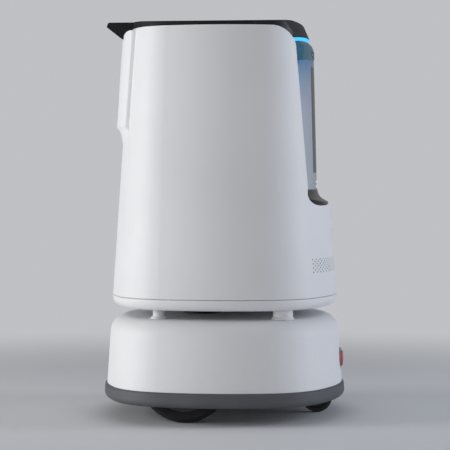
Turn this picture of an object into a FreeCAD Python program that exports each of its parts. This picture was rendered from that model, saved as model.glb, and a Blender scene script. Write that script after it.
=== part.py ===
import FreeCAD, Part
import math
import os
import re

import Sketcher

# A free-standing indoor mobile robot: a low drive base with a rubber bumper, an open gap for a
# scanning range finder, and a tall tapered body with a recessed front and a rear service hatch.
# +X is the robot's front, +Y its left side, +Z up. The origin is on the floor under its centre.
# Lengths are millimetres. "Lean" sizes are slopes: millimetres of run for each millimetre of rise.

SIZES = {
    # plan of the body, taken at the seam between the skirt and the body shell
    "body_half_length": 255.0,
    "body_half_width": 275.0,
    "front_bow": 410.0,
    "side_bow": 440.0,
    "corner_bow": 150.0,
    "seam_level": 272.0,
    "wall_lean": 0.067,
    "gap": 0.3,
    "seam_gap": 0.7,
    "seam_groove": 1.6,
    "fit": 0.05,
    # levels
    "chassis_level": 46.0,
    "chassis_thickness": 4.0,
    "bumper_bottom": 39.0,
    "bumper_top": 73.0,
    "ledge_level": 58.0,
    "base_top": 226.0,
    "skirt_bottom": 247.0,
    "sill_level": 474.0,
    "fascia_top": 802.0,
    "sensor_top": 846.0,
    "light_top": 855.0,
    "shell_top": 868.0,
    "cap_top": 888.0,
    "roof_pitch": 0.088,
    "roof_round": 2400.0,
    # walls and soft corners
    "shell_wall": 4.0,
    "base_round": 38.0,
    "skirt_round": 21.0,
    "bumper_proud": 4.5,
    "bumper_depth": 14.0,
    "bumper_top_round": 9.0,
    "bumper_low_round": 13.0,
    # drive wheels
    "drive_centre": -66.0,
    "drive_track": 208.0,
    "wheel_radius": 100.0,
    "wheel_width": 44.0,
    "rim_radius": 75.0,
    "axle_radius": 8.0,
    "bracket_plane": 168.0,
    "bracket_thickness": 8.0,
    "arch_level": 205.0,
    "arch_width": 36.0,
    "nut_radius": 13.0,
    "nut_height": 8.0,
    # casters
    "front_caster_centre": 187.0,
    "rear_caster_centre": -165.0,
    "caster_radius": 35.0,
    "caster_width": 24.0,
    "caster_trail": 25.0,
    "caster_top": 97.0,
    "pin_radius": 5.0,
    "bolt_radius": 4.0,
    "sheet_metal": 3.0,
    "bridge_width": 74.0,
    "stem_length": 18.5,
    # posts and deck
    "front_post_forward": 148.0,
    "rear_post_back": 126.0,
    "post_side": 196.0,
    "front_post_radius": 22.0,
    "rear_post_radius": 13.0,
    "deck_thickness": 4.0,
    "upright_size": 20.0,
    "upright_forward": 120.0,
    "upright_side": 150.0,
    # battery, drives, computer and speaker
    "battery_centre": 15.0,
    "battery_half_length": 96.0,
    "battery_half_width": 84.0,
    "battery_height": 86.0,
    "tray_lip": 20.0,
    "driver_forward": 105.0,
    "driver_side": 132.0,
    "driver_half_length": 34.0,
    "driver_half_width": 36.0,
    "driver_height": 34.0,
    "computer_centre": -40.0,
    "computer_half_length": 100.0,
    "computer_half_width": 70.0,
    "computer_height": 52.0,
    "speaker_forward": 190.0,
    "speaker_half_width": 60.0,
    "speaker_height": 100.0,
    "speaker_cone": 34.0,
    # scanner
    "scanner_centre": -52.0,
    "scanner_radius": 40.0,
    "scanner_height": 17.0,
    # front recess
    "face_bow": 640.0,
    "face_forward": 203.0,
    "face_lean": 0.0253,
    "fascia_thickness": 4.0,
    "cheek_top_forward": 175.0,
    "cheek_low_forward": 200.0,
    "cheek_top_level": 818.0,
    "cheek_low_level": 520.0,
    "cheek_round": 50.0,
    "sill_round": 28.0,
    "sill_lip_forward": 243.0,
    "display_half_width": 62.0,
    "display_low": 548.0,
    "display_high": 786.0,
    "display_round": 9.0,
    "light_setback": 11.0,
    "light_depth": 14.0,
    "brow_rise": 0.33,
    "brow_depth": 30.0,
    "lens_radius": 6.5,
    "lens_spacing": 34.0,
    # rear hatch
    "hatch_half_width": 150.0,
    "hatch_low": 614.0,
    "hatch_lip": 650.0,
    "hatch_high": 864.0,
    "hatch_proud": 16.0,
    "hatch_skin": 3.0,
    "hatch_gap": 0.8,
    "rear_round": 52.0,
    "hinge_side": 157.0,
    "hinge_back": 197.0,
    "hinge_level": 740.0,
    "hinge_lean": 0.074,
    "hinge_spread": 62.0,
    "barrel_radius": 5.0,
    "bay_half_width": 112.0,
    "bay_low": 670.0,
    "bay_high": 810.0,
    "bay_end": -32.0,
    "bay_wall": 2.5,
    # cap
    "cap_front": 128.0,
    "lip_reach": 259.0,
    "lip_half_width": 95.0,
    "lip_clearance": 7.0,
    "lip_nose_level": 876.0,
    "lip_root_level": 849.5,
    "lip_top_level": 886.0,
    # controls on the base
    "stop_level": 124.0,
    "stop_radius": 20.0,
    "power_level": 150.0,
    "power_side": 90.0,
    "power_radius": 9.5,
    "charge_level": 112.0,
    "charge_half_width": 40.0,
    "charge_half_height": 18.0,
    "strip_half_width": 30.0,
    "strip_spacing": 16.0,
}

doc = FreeCAD.newDocument("MobileRobot")
sheet = doc.addObject("Spreadsheet::Sheet", "Sizes")
for row, (size_name, size) in enumerate(SIZES.items(), start=1):
    sheet.set(f"A{row}", size_name)
    sheet.set(f"B{row}", str(size))
    sheet.setAlias(f"B{row}", size_name)
doc.recompute()

NODES = []


def bound(text):
    """The expression that reads each size name of `text` from the sheet."""
    return re.sub(r"[a-z][a-z_]+", lambda m: f"Sizes.{m[0]}" if m[0] in SIZES else m[0], str(text))


def value(text):
    """What an expression comes to now."""
    result = sheet.evalExpression(bound(text))
    return float(getattr(result, "Value", result))


def bind(thing, prop, text):
    thing.setExpression(prop, bound(text))


def node(thing, label):
    """Marks a finished sub-part, and gives it the name of its file."""
    thing.Label = label
    NODES.append(thing)
    return thing


def body(name):
    return doc.addObject("PartDesign::Body", name)


def place(thing, x="0", y="0", z="0", axis=None, angle=0.0):
    """Puts a sub-part at a bound place, turned by a fixed angle in degrees about an axis."""
    if axis:
        thing.Placement = FreeCAD.Placement(FreeCAD.Vector(), FreeCAD.Rotation(FreeCAD.Vector(*axis), angle))
    for letter, text in zip("xyz", (x, y, z)):
        bind(thing, f"Placement.Base.{letter}", text)
    return thing


# ---- sketches ----------------------------------------------------------------------------------


def sketch(owner, role="XY_Plane", offset="0"):
    """An empty sketch on one of the body's own origin planes, moved along the plane's normal."""
    made = owner.newObject("Sketcher::SketchObject", f"{owner.Name}_sketch")
    plane = next(f for f in owner.Origin.OriginFeatures if f.Role == role)
    made.AttachmentSupport = [(plane, "")]
    made.MapMode = "FlatFace"
    bind(made, "AttachmentOffset.Base.z", offset)
    return made


def datum(made, kind, items, text):
    index = made.addConstraint(Sketcher.Constraint(kind, *items, value(text)))
    bind(made, f"Constraints[{index}]", text)


def pin_point(made, geo, pos, x, y):
    """Holds one point of a sketch at bound distances from the origin."""
    for kind, axis_line, text in (("DistanceX", -2, x), ("DistanceY", -1, y)):
        if str(text) == "0":
            made.addConstraint(Sketcher.Constraint("PointOnObject", geo, pos, axis_line))
        else:
            datum(made, kind, (-1, 1, geo, pos), text)


def circles(made, *rounds):
    """Adds circles, each (x, y, radius)."""
    for x, y, radius in rounds:
        centre = FreeCAD.Vector(value(x), value(y), 0)
        geo = made.addGeometry(Part.Circle(centre, FreeCAD.Vector(0, 0, 1), value(radius)), False)
        datum(made, "Radius", (geo,), radius)
        pin_point(made, geo, 3, x, y)


def outline(made, *corners):
    """Adds a closed outline. A corner is (x, y), or (x, y, radius) where it is rounded."""
    count = len(corners)
    spots = [FreeCAD.Vector(value(c[0]), value(c[1]), 0) for c in corners]
    turns = [value(c[2]) if len(c) > 2 else 0.0 for c in corners]
    ends = []
    for i, spot in enumerate(spots):
        before = (spots[i - 1] - spot).normalize()
        after = (spots[(i + 1) % count] - spot).normalize()
        back = turns[i] / math.tan(before.getAngle(after) / 2) if turns[i] else 0.0
        ends.append((spot + before * back, spot + after * back, before, after))
    lines = [made.addGeometry(Part.LineSegment(ends[i][1], ends[(i + 1) % count][0]), False)
             for i in range(count)]
    for i, corner in enumerate(corners):
        into, out = lines[i - 1], lines[i]
        if not turns[i]:
            made.addConstraint(Sketcher.Constraint("Coincident", into, 2, out, 1))
            pin_point(made, out, 1, corner[0], corner[1])
            continue
        start, stop, before, after = ends[i]
        half = before.getAngle(after) / 2
        middle = (before + after).normalize()
        centre = spots[i] + middle * (turns[i] / math.sin(half))
        arc = made.addGeometry(Part.Arc(start, centre - middle * turns[i], stop), False)
        counterclockwise = before.cross(after).z < 0
        first, last = (1, 2) if counterclockwise else (2, 1)
        made.addConstraint(Sketcher.Constraint("Tangent", into, 2, arc, first))
        made.addConstraint(Sketcher.Constraint("Tangent", arc, last, out, 1))
        datum(made, "Radius", (arc,), corner[2])
        tip = made.addGeometry(Part.Point(spots[i]), True)
        pin_point(made, tip, 1, corner[0], corner[1])
        made.addConstraint(Sketcher.Constraint("PointOnObject", tip, 1, into))
        made.addConstraint(Sketcher.Constraint("PointOnObject", tip, 1, out))


def box_outline(made, half_x, half_y, radius):
    """Adds a rounded rectangle about the sketch's origin."""
    outline(made, (half_x, half_y, radius), (f"-({half_x})", half_y, radius),
            (f"-({half_x})", f"-({half_y})", radius), (half_x, f"-({half_y})", radius))


def plan(made, level, inset):
    """Adds the robot's soft-cornered plan at a level, inset all round: four bowed sides and corners.

    The walls lean inwards evenly, so the plan at any level is that at the seam, inset further.
    """
    draw_in = f"(({inset}) + (({level}) - seam_level) * wall_lean)"
    text = {key: f"({key} - {draw_in})"
            for key in ("body_half_length", "body_half_width", "front_bow", "side_bow", "corner_bow")}
    front, side, corner = (value(text[k]) for k in ("front_bow", "side_bow", "corner_bow"))
    front_x = value("body_half_length - front_bow")
    side_y = value("body_half_width - side_bow")
    # a corner's centre lies where circles about the two sides' centres cross
    span = math.hypot(front_x, side_y)
    along = ((front - corner) ** 2 - (side - corner) ** 2 + span ** 2) / (2 * span)
    across = math.sqrt((front - corner) ** 2 - along ** 2)
    unit_x, unit_y = -front_x / span, side_y / span
    corner_x = front_x + along * unit_x - across * unit_y
    corner_y = along * unit_y + across * unit_x
    if corner_x < 0:
        corner_x = front_x + along * unit_x + across * unit_y
        corner_y = along * unit_y - across * unit_x
    low = math.atan2(corner_y, corner_x - front_x)
    high = math.atan2(corner_y - side_y, corner_x)
    arcs = []
    for quarter in range(4):
        on_front = quarter % 2 == 0
        sign_x = 1 if quarter in (0, 3) else -1
        sign_y = 1 if quarter in (0, 1) else -1
        begin = quarter * math.pi / 2
        near, far = (low, high) if on_front else (math.pi / 2 - high, math.pi / 2 - low)
        side_centre = ((front_x, 0), (0, side_y), (-front_x, 0), (0, -side_y))[quarter]
        arcs.append((side_centre, front if on_front else side, begin - near, begin + near))
        arcs.append(((sign_x * corner_x, sign_y * corner_y), corner, begin + near, begin + far))
    for centre, radius, start, stop in arcs:
        circle = Part.Circle(FreeCAD.Vector(*centre, 0), FreeCAD.Vector(0, 0, 1), radius)
        made.addGeometry(Part.ArcOfCircle(circle, start, stop), False)
    for i in range(8):
        made.addConstraint(Sketcher.Constraint("Tangent", i, 2, (i + 1) % 8, 1))
    for i in range(8):
        datum(made, "Radius", (i,), text["corner_bow" if i % 2 else ("front_bow", "side_bow")[i // 2 % 2]])
    for i, axis_line in ((0, -1), (2, -2), (4, -1), (6, -2)):
        made.addConstraint(Sketcher.Constraint("PointOnObject", i, 3, axis_line))
    datum(made, "DistanceX", (-1, 1, 0, 3), "body_half_length - front_bow")
    datum(made, "DistanceX", (-1, 1, 4, 3), "front_bow - body_half_length")
    datum(made, "DistanceY", (-1, 1, 2, 3), "body_half_width - side_bow")
    datum(made, "DistanceY", (-1, 1, 6, 3), "side_bow - body_half_width")


# ---- features ----------------------------------------------------------------------------------


def feature(owner, kind, name):
    return owner.newObject(f"PartDesign::{kind}", f"{owner.Name}_{name}")


def pad(owner, made, length, both_ways=False):
    solid = feature(owner, "Pad", "pad")
    solid.Profile = made
    bind(solid, "Length", length)
    solid.SideType = "Symmetric" if both_ways else "One side"
    return solid


def pocket(owner, made, length=None, reverse=False):
    """Cuts a sketch both ways through everything, or to a depth against the plane's normal."""
    cut = feature(owner, "Pocket", "pocket")
    cut.Profile = made
    if length is None:
        cut.Type = "ThroughAll"
        cut.SideType = "Symmetric"
    else:
        bind(cut, "Length", length)
        cut.Reversed = reverse
    return cut


def turn(owner, made, groove=False):
    """Spins a sketch a full turn about its own vertical axis."""
    spun = feature(owner, "Groove" if groove else "Revolution", "turn")
    spun.Profile = made
    spun.ReferenceAxis = (made, ["V_Axis"])
    spun.Angle = 360.0
    return spun


def skin(owner, low, high, inset, high_inset=None):
    """Adds a block with the robot's plan between two levels, its walls leaning as the body's do.

    Where `high_inset` is given, the inset changes evenly from the low level to the high one.
    """
    made = sketch(owner, offset=low)
    plan(made, low, inset)
    block_pad = pad(owner, made, f"({high}) - ({low})")
    extra = f"(({high_inset}) - ({inset})) / (({high}) - ({low}))" if high_inset else "0"
    bind(block_pad, "TaperAngle", f"-atan(wall_lean + {extra})")
    return block_pad


def skin_body(name, low, high, inset):
    """The same block as a body of its own, for cutting and trimming."""
    owner = body(name)
    skin(owner, low, high, inset)
    return owner


def flat_edges(base, level, least=0.0, most=1e9):
    """Names of the edges that lie flat at a level, from `least` to `most` away from the axis."""
    names = []
    for i, edge in enumerate(base.Shape.Edges, start=1):
        ends = [v.Point for v in edge.Vertexes]
        away = [math.hypot(p.x, p.y) for p in ends]
        if all(abs(p.z - value(level)) < 0.01 for p in ends) and least < min(away) and max(away) < most:
            names.append(f"Edge{i}")
    return names


def soften(owner, base, names, radius):
    doc.recompute()
    rounding = feature(owner, "Fillet", "fillet")
    rounding.Base = (base, names() if callable(names) else names)
    bind(rounding, "Radius", radius)
    doc.recompute()
    return rounding


def polar(owner, base, count):
    pattern = feature(owner, "PolarPattern", "pattern")
    pattern.Originals = [base]
    z_axis = next(f for f in owner.Origin.OriginFeatures if f.Role == "Z_Axis")
    pattern.Axis = (z_axis, [""])
    pattern.Angle = 360.0
    pattern.Occurrences = count
    owner.Tip = pattern
    return pattern


def turned(name, *corners):
    """A body spun about its own Z axis from an outline of (radius, height)."""
    owner = body(name)
    made = sketch(owner, "XZ_Plane")
    outline(made, *corners)
    turn(owner, made)
    return owner


def slab(name, half_x, half_y, height, radius="2"):
    """A rounded block standing on its own origin."""
    owner = body(name)
    made = sketch(owner)
    box_outline(made, half_x, half_y, radius)
    pad(owner, made, height)
    return owner


def pressed(name, depth, *corners):
    """A bent-metal or moulded profile, drawn in the XZ plane and padded both ways along Y."""
    owner = body(name)
    made = sketch(owner, "XZ_Plane")
    outline(made, *corners)
    pad(owner, made, depth, both_ways=True)
    return owner


def block(low, high):
    """A bound box between two corners, as a tool for cutting or trimming."""
    tool = doc.addObject("Part::Box", "trim_box")
    for prop, a, b in zip(("Length", "Width", "Height"), low, high):
        bind(tool, prop, f"({b}) - ({a})")
    return place(tool, *low)


def combine(kind, base, tool, name="joined"):
    joined = doc.addObject(f"Part::{kind}", name)
    joined.Base = base
    joined.Tool = tool
    return joined


def group(name, *members):
    """Separate solids that share one node."""
    together = doc.addObject("Part::Compound", name)
    together.Links = list(members)
    return together


def mirrored(thing, normal):
    copy = doc.addObject("Part::Mirroring", f"{thing.Name}_mirror")
    copy.Source = thing
    copy.Normal = FreeCAD.Vector(*normal)
    return copy


def face_turn(name, *corners):
    """A curved front piece: a side outline (forward, level) spun about the face's far axis."""
    owner = body(name)
    made = sketch(owner, "XZ_Plane")
    shift = "face_forward - face_bow"
    outline(made, *[(f"({c[0]}) - ({shift})", *c[1:]) for c in corners])
    spun = turn(owner, made)
    spun.Midplane = True
    spun.Angle = 60.0
    return place(owner, x=shift)


def face_at(level, depth="0"):
    """How far forward the fascia's centre line is at a level, less a depth."""
    return f"face_forward + (fascia_top - ({level})) * face_lean - ({depth})"


# ---- drive base --------------------------------------------------------------------------------

owner = body("chassis")
outer = sketch(owner, offset="chassis_level")
plan(outer, "chassis_level", "bumper_depth + gap * 2")
pad(owner, outer, "chassis_thickness")
openings = sketch(owner)
for side in ("", "-"):
    reach = "wheel_radius - 4"
    near, far = "drive_track - wheel_width / 2 - 5", "drive_track + wheel_width / 2 + 5"
    outline(openings, (f"drive_centre + {reach}", f"{side}({far})", "6"),
            (f"drive_centre - ({reach})", f"{side}({far})", "6"),
            (f"drive_centre - ({reach})", f"{side}({near})", "6"),
            (f"drive_centre + {reach}", f"{side}({near})", "6"))
sweep = "caster_trail + caster_radius + 6"
circles(openings, ("front_caster_centre", "0", sweep), ("rear_caster_centre", "0", sweep))
pocket(owner, openings)
node(owner, "chassis_plate")

owner = body("bumper_ring")
ring = skin(owner, "bumper_bottom", "bumper_top", "-bumper_proud")
upper = soften(owner, ring, lambda: flat_edges(ring, "bumper_top"), "bumper_top_round - 1")
soften(owner, upper, lambda: flat_edges(upper, "bumper_bottom"), "bumper_low_round")
core = combine("Cut", owner, skin_body("ledge_core", "bumper_bottom - 1", "ledge_level", "bumper_depth"))
node(combine("Cut", core, skin_body("rim_core", "ledge_level", "bumper_top + 1", "-gap")), "bumper")

owner = body("base_cover")
outside = skin(owner, "ledge_level + gap", "base_top", "0")
crown = soften(owner, outside, lambda: flat_edges(outside, "base_top"), "base_round")
holes = sketch(owner, offset="base_top")
for side in ("post_side", "-post_side"):
    circles(holes, ("front_post_forward", side, "front_post_radius + gap"),
            ("-rear_post_back", side, "rear_post_radius + gap"))
circles(holes, ("scanner_centre", "0", "scanner_radius + gap"))
pocket(owner, holes, "base_round")
stop_hole = sketch(owner, "YZ_Plane")
circles(stop_hole, ("0", "stop_level", "stop_radius + 5 + gap"))
pocket(owner, stop_hole, "body_half_length * 2", reverse=True)
rear_holes = sketch(owner, "YZ_Plane")
circles(rear_holes, ("power_side", "power_level", "power_radius + 1.5 + gap"))
wide, tall = "charge_half_width + gap", "charge_half_height + gap"
outline(rear_holes, (wide, f"charge_level + {tall}", "3"), (f"-({wide})", f"charge_level + {tall}", "3"),
        (f"-({wide})", f"charge_level - ({tall})", "3"), (wide, f"charge_level - ({tall})", "3"))
pocket(owner, rear_holes, "body_half_length * 2")
hollow = body("base_hollow")
core = skin(hollow, "ledge_level - 1", "base_top - shell_wall", "shell_wall")
soften(hollow, core, lambda: flat_edges(core, "base_top - shell_wall"), "base_round - shell_wall")
node(combine("Cut", owner, hollow), "base_shell")

for side_name, side in (("left", ""), ("right", "-")):
    outward = -90 if side == "" else 90
    # tyre: two grooves run round a rounded tread
    tyre = turned(f"{side_name}_tyre", ("rim_radius + gap / 3", "-wheel_width / 2 + 3", "2"),
                  ("wheel_radius - 9", "-wheel_width / 2", "4"), ("wheel_radius", "-wheel_width / 2 + 7", "5"),
                  ("wheel_radius", "wheel_width / 2 - 7", "5"), ("wheel_radius - 9", "wheel_width / 2", "4"),
                  ("rim_radius + gap / 3", "wheel_width / 2 - 3", "2"))
    grooves = sketch(tyre, "XZ_Plane")
    for level in ("-wheel_width / 5", "wheel_width / 5"):
        outline(grooves, ("wheel_radius - 4", f"{level} - 1"), ("wheel_radius + 1", f"{level} - 1.6"),
                ("wheel_radius + 1", f"{level} + 1.6"), ("wheel_radius - 4", f"{level} + 1"))
    turn(tyre, grooves, groove=True)
    node(place(tyre, "drive_centre", f"{side}drive_track", "wheel_radius", (1, 0, 0), outward),
         f"{side_name}_tyre")
    # hub: the in-wheel motor's turning case, dished outboard between a rim and a boss
    hub = turned(f"{side_name}_hub", ("axle_radius + fit", "-wheel_width / 2"),
                 ("24", "-wheel_width / 2"), ("30", "-wheel_width / 2 + 5", "2"),
                 ("rim_radius - 4", "-wheel_width / 2 + 5"),
                 ("rim_radius", "-wheel_width / 2 + 5"), ("rim_radius", "wheel_width / 2 - 4"),
                 ("rim_radius - 8", "wheel_width / 2 - 4"), ("rim_radius - 14", "wheel_width / 2 - 12", "4"),
                 ("28", "wheel_width / 2 - 12", "4"), ("22", "wheel_width / 2 - 1", "2"),
                 ("axle_radius + fit", "wheel_width / 2 - 1"))
    scallop = sketch(hub, offset="wheel_width / 2 - 12")
    outline(scallop, ("32", "-7", "3"), ("rim_radius - 17", "-11", "4"),
            ("rim_radius - 17", "11", "4"), ("32", "7", "3"))
    dish = pocket(hub, scallop, "5")
    polar(hub, dish, 8)
    node(place(hub, "drive_centre", f"{side}drive_track", "wheel_radius", (1, 0, 0), outward),
         f"{side_name}_wheel_hub")
    # axle: fixed shaft with two flats where the bracket grips it
    axle = body(f"{side_name}_axle")
    shaft = sketch(axle)
    circles(shaft, ("0", "0", "axle_radius"))
    shaft_end = "drive_track + wheel_width / 2 - 3"
    pad(axle, shaft, f"{shaft_end} - (bracket_plane - bracket_thickness - 16)")
    flats = sketch(axle, offset="bracket_thickness + 18")
    for way in ("", "-"):
        flat, clear = f"{way}(axle_radius - 1.5)", f"{way}(axle_radius + 1)"
        outline(flats, (flat, "axle_radius + 1"), (clear, "axle_radius + 1"),
                (clear, "-axle_radius - 1"), (flat, "-axle_radius - 1"))
    pocket(axle, flats, "bracket_thickness + 20")
    node(place(axle, "drive_centre", f"{side}(bracket_plane - bracket_thickness - 16)", "wheel_radius",
               (1, 0, 0), outward), f"{side_name}_wheel_axle")
    # bracket: bent plate with a foot on the chassis, an upright that holds the axle, and a gusset
    bracket = body(f"{side_name}_bracket")
    upright = sketch(bracket, "XZ_Plane")
    rise = "wheel_radius - chassis_level - chassis_thickness"
    outline(upright, ("42", "0", "2"), ("42", "20", "8"), ("21", f"{rise} + 22", "16"),
            ("-21", f"{rise} + 22", "16"), ("-42", "20", "8"), ("-42", "0", "2"))
    circles(upright, ("0", rise, "axle_radius + fit * 2"))
    pad(bracket, upright, "bracket_thickness")
    foot = sketch(bracket)
    outline(foot, ("42", "0"), ("42", "-(bracket_thickness + 32)", "6"),
            ("-42", "-(bracket_thickness + 32)", "6"), ("-42", "0"))
    pad(bracket, foot, "6")
    for way in ("34", "-34"):
        rib = sketch(bracket, "YZ_Plane", way)
        outline(rib, ("-1", "5"), ("-1", "34"), ("-(bracket_thickness)", "34"),
                ("-(bracket_thickness + 26)", "5"))
        pad(bracket, rib, "4", both_ways=True)
    NODES.append(bracket)
    place(bracket, "drive_centre", f"{side}bracket_plane", "chassis_level + chassis_thickness",
          (0, 0, 1), 0 if side == "" else 180)
    bracket.Label = f"{side_name}_wheel_bracket"

nut = body("axle_nut")
hexagon = sketch(nut)
high = "nut_radius * sqrt(3) / 2"
outline(hexagon, ("nut_radius", "0"), ("nut_radius / 2", high), ("-nut_radius / 2", high),
        ("-nut_radius", "0"), ("-nut_radius / 2", f"-{high}"), ("nut_radius / 2", f"-{high}"))
circles(hexagon, ("0", "0", "axle_radius + fit"))
pad(nut, hexagon, "nut_height")
place(nut, "drive_centre", "bracket_plane - bracket_thickness - gap", "wheel_radius", (1, 0, 0), 90)
node(group("nuts", nut, mirrored(nut, (0, 1, 0))), "axle_nuts")

for name, centre in (("front", "front_caster_centre"), ("rear", "rear_caster_centre")):
    # hat bracket that carries the caster above the chassis opening
    bridge = body(f"{name}_bridge")
    hat = sketch(bridge, "YZ_Plane")
    floor, roof = "chassis_level + chassis_thickness", "caster_top + sheet_metal"
    leg, foot_end = "caster_trail + caster_radius + 10", "caster_trail + caster_radius + 32"
    right = [(foot_end, floor), (foot_end, f"{floor} + sheet_metal"),
             (f"{leg} + sheet_metal", f"{floor} + sheet_metal"), (f"{leg} + sheet_metal", f"{roof} + sheet_metal", "4")]
    outline(hat, *right, *[(f"-({c[0]})", *c[1:]) for c in reversed(right)],
            (f"-({leg})", floor), (f"-({leg})", roof, "2"), (leg, roof, "2"), (leg, floor))
    pad(bridge, hat, "bridge_width", both_ways=True)
    node(place(bridge, x=centre), f"{name}_caster_bridge")
    plate = slab(f"{name}_plate", "34", "34", "sheet_metal", "7")
    stem = sketch(plate)
    circles(stem, ("0", "0", "pin_radius"))
    pad(plate, stem, "stem_length").Reversed = True
    collar = sketch(plate)
    circles(collar, ("0", "0", "17"))
    pad(plate, collar, "2").Reversed = True
    node(place(plate, centre, "0", "caster_top"), f"{name}_caster_plate")
    # fork: a swivel head over the stem, with two cheeks that trail to the wheel
    fork = turned(f"{name}_fork", ("pin_radius + fit", "-20"), ("18", "-20"), ("22", "-14", "3"),
                  ("22", "-3", "2"), ("pin_radius + fit", "-3"))
    cheek = sketch(fork, "XZ_Plane")
    drop = "caster_top - caster_radius"
    outline(cheek, ("-16", "-19"), ("20", "-19"), ("caster_trail + 12", f"-({drop}) + 8", "9"),
            ("caster_trail + 4", f"-({drop}) - 11", "9"), ("caster_trail - 12", f"-({drop}) - 2", "9"),
            ("-16", "-28", "5"))
    pad(fork, cheek, "caster_width + 8", both_ways=True)
    slot = sketch(fork, "XZ_Plane")
    outline(slot, ("-40", "-22.5"), ("90", "-22.5"), ("90", "-110"), ("-40", "-110"))
    pocket(fork, slot, "caster_width + 2").SideType = "Symmetric"
    eye = sketch(fork, "XZ_Plane")
    circles(eye, ("caster_trail", f"-({drop})", "bolt_radius + fit"))
    pocket(fork, eye)
    node(place(fork, centre, "0", "caster_top"), f"{name}_caster_fork")
    edge = "caster_width / 2"
    side = [("bolt_radius + fit", edge), ("11", edge), ("13", f"{edge} - 5", "2"),
            ("caster_radius - 11", f"{edge} - 5", "2"), ("caster_radius - 9", f"{edge} - 1", "1"),
            ("caster_radius - 2", f"{edge} - 1", "2"), ("caster_radius", f"{edge} - 6", "4")]
    wheel = turned(f"{name}_roller", *[(c[0], f"-({c[1]})", *c[2:]) for c in side], *reversed(side))
    node(place(wheel, f"{centre} + caster_trail", "0", "caster_radius", (1, 0, 0), 90), f"{name}_caster_wheel")
    half = "caster_width / 2 + 4"
    bolt = turned(f"{name}_bolt", ("0", f"-({half}) - 5"), ("6.5", f"-({half}) - 5"), ("6.5", f"-({half}) - gap"),
                  ("bolt_radius", f"-({half}) - gap"), ("bolt_radius", f"{half} + gap"),
                  ("6.5", f"{half} + gap"), ("6.5", f"{half} + 5"), ("0", f"{half} + 5"))
    node(place(bolt, f"{centre} + caster_trail", "0", "caster_radius", (1, 0, 0), 90), f"{name}_caster_axle")

tray_top = "chassis_level + chassis_thickness"
half = "battery_half_length + gap * 3 + 3"
tray = pressed("tray", "battery_half_width * 2 + 12", (half, "0"), (half, "tray_lip"), (f"{half} - 2.5", "tray_lip"),
               (f"{half} - 2.5", "2.5"), (f"-({half}) + 2.5", "2.5"), (f"-({half}) + 2.5", "tray_lip"),
               (f"-({half})", "tray_lip"), (f"-({half})", "0"))
node(place(tray, "battery_centre", "0", tray_top), "battery_tray")
cells = slab("cells", "battery_half_length", "battery_half_width", "battery_height", "8")
doc.recompute()
grip = sketch(cells, "XZ_Plane")
outline(grip, ("46", "battery_height - 16", "5"), ("46", "battery_height + 6"),
        ("-46", "battery_height + 6"), ("-46", "battery_height - 16", "5"))
pocket(cells, grip, "60").SideType = "Symmetric"
node(place(cells, "battery_centre", "0", f"{tray_top} + 2.5 + gap"), "battery_pack")
driver = slab("driver", "driver_half_length", "driver_half_width", "driver_height", "3")
for fin_row in range(5):
    fin = sketch(driver, "YZ_Plane")
    y = f"{fin_row - 2} * driver_half_width / 3"
    outline(fin, (f"{y} - 3", "driver_height - 10"), (f"{y} - 3", "driver_height + 2"),
            (f"{y} + 3", "driver_height + 2"), (f"{y} + 3", "driver_height - 10"))
    pocket(driver, fin)
place(driver, "driver_forward", "driver_side", tray_top)
node(group("driver_pair", driver, mirrored(driver, (0, 1, 0))), "motor_controllers")

# posts join the chassis to the deck through holes in both covers
deck_foot = "skirt_bottom + shell_wall + gap"
for name, forward, radius, flare, foot in (
        ("front", "front_post_forward", "front_post_radius", "3", tray_top),
        ("rear", "-rear_post_back", "rear_post_radius", "5", "arch_level + sheet_metal")):
    post = turned(f"{name}_post", (f"{radius} - 5", foot), (radius, foot), (radius, "base_top"),
                  (f"{radius} + {flare}", "base_top + gap"), (f"{radius} + {flare}", "base_top + 3", "1"),
                  (radius, "base_top + 7", "2"), (radius, deck_foot), (f"{radius} - 5", deck_foot))
    place(post, forward, "post_side")
    node(group(f"{name}_pair", post, mirrored(post, (0, 1, 0))), f"{name}_posts")

# an arch of bent plate over each drive wheel carries the rear posts
near, far = "wheel_radius + 12", "wheel_radius + 26"
half = [(far, tray_top), (far, f"{tray_top} + sheet_metal"), (f"{near} + sheet_metal", f"{tray_top} + sheet_metal"),
        (f"{near} + sheet_metal", "arch_level + sheet_metal", "6")]
arch = pressed("wheel_arch", "arch_width", *half, *[(f"-({c[0]})", *c[1:]) for c in reversed(half)],
               (f"-({near})", tray_top), (f"-({near})", "arch_level", "3"),
               (near, "arch_level", "3"), (near, tray_top))
place(arch, "drive_centre", "post_side")
node(group("arch_pair", arch, mirrored(arch, (0, 1, 0))), "wheel_arches")

housing = turned("scan_housing", ("0", "base_top - 24"), ("scanner_radius - 4", "base_top - 24", "2"),
                 ("scanner_radius", "base_top - 18"), ("scanner_radius", "base_top + gap"),
                 ("scanner_radius + 3", "base_top + gap"), ("scanner_radius + 3", "base_top + 4", "1"),
                 ("6", "base_top + 4"), ("6", "base_top + 9"), ("0", "base_top + 9"))
node(place(housing, "scanner_centre"), "scanner_housing")
turret = turned("scan_turret", ("0", "base_top + 10"), ("6 + fit", "base_top + 10"),
                ("6 + fit", "base_top + 4 + gap"), ("scanner_radius", "base_top + 4 + gap"),
                ("scanner_radius", "base_top + 7", "1"),
                ("scanner_radius - 3", "base_top + 8"), ("scanner_radius - 3", "base_top + scanner_height - 5"),
                ("scanner_radius", "base_top + scanner_height - 4", "1"),
                ("scanner_radius - 2", "base_top + scanner_height", "2"), ("0", "base_top + scanner_height"))
window = sketch(turret, "YZ_Plane", "scanner_radius - 6")
outline(window, ("-9", "base_top + 8.5"), ("9", "base_top + 8.5"), ("9", "base_top + scanner_height - 5.5"),
        ("-9", "base_top + scanner_height - 5.5"))
pocket(turret, window, "10", reverse=True)
node(place(turret, "scanner_centre"), "scanner_turret")

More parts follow.
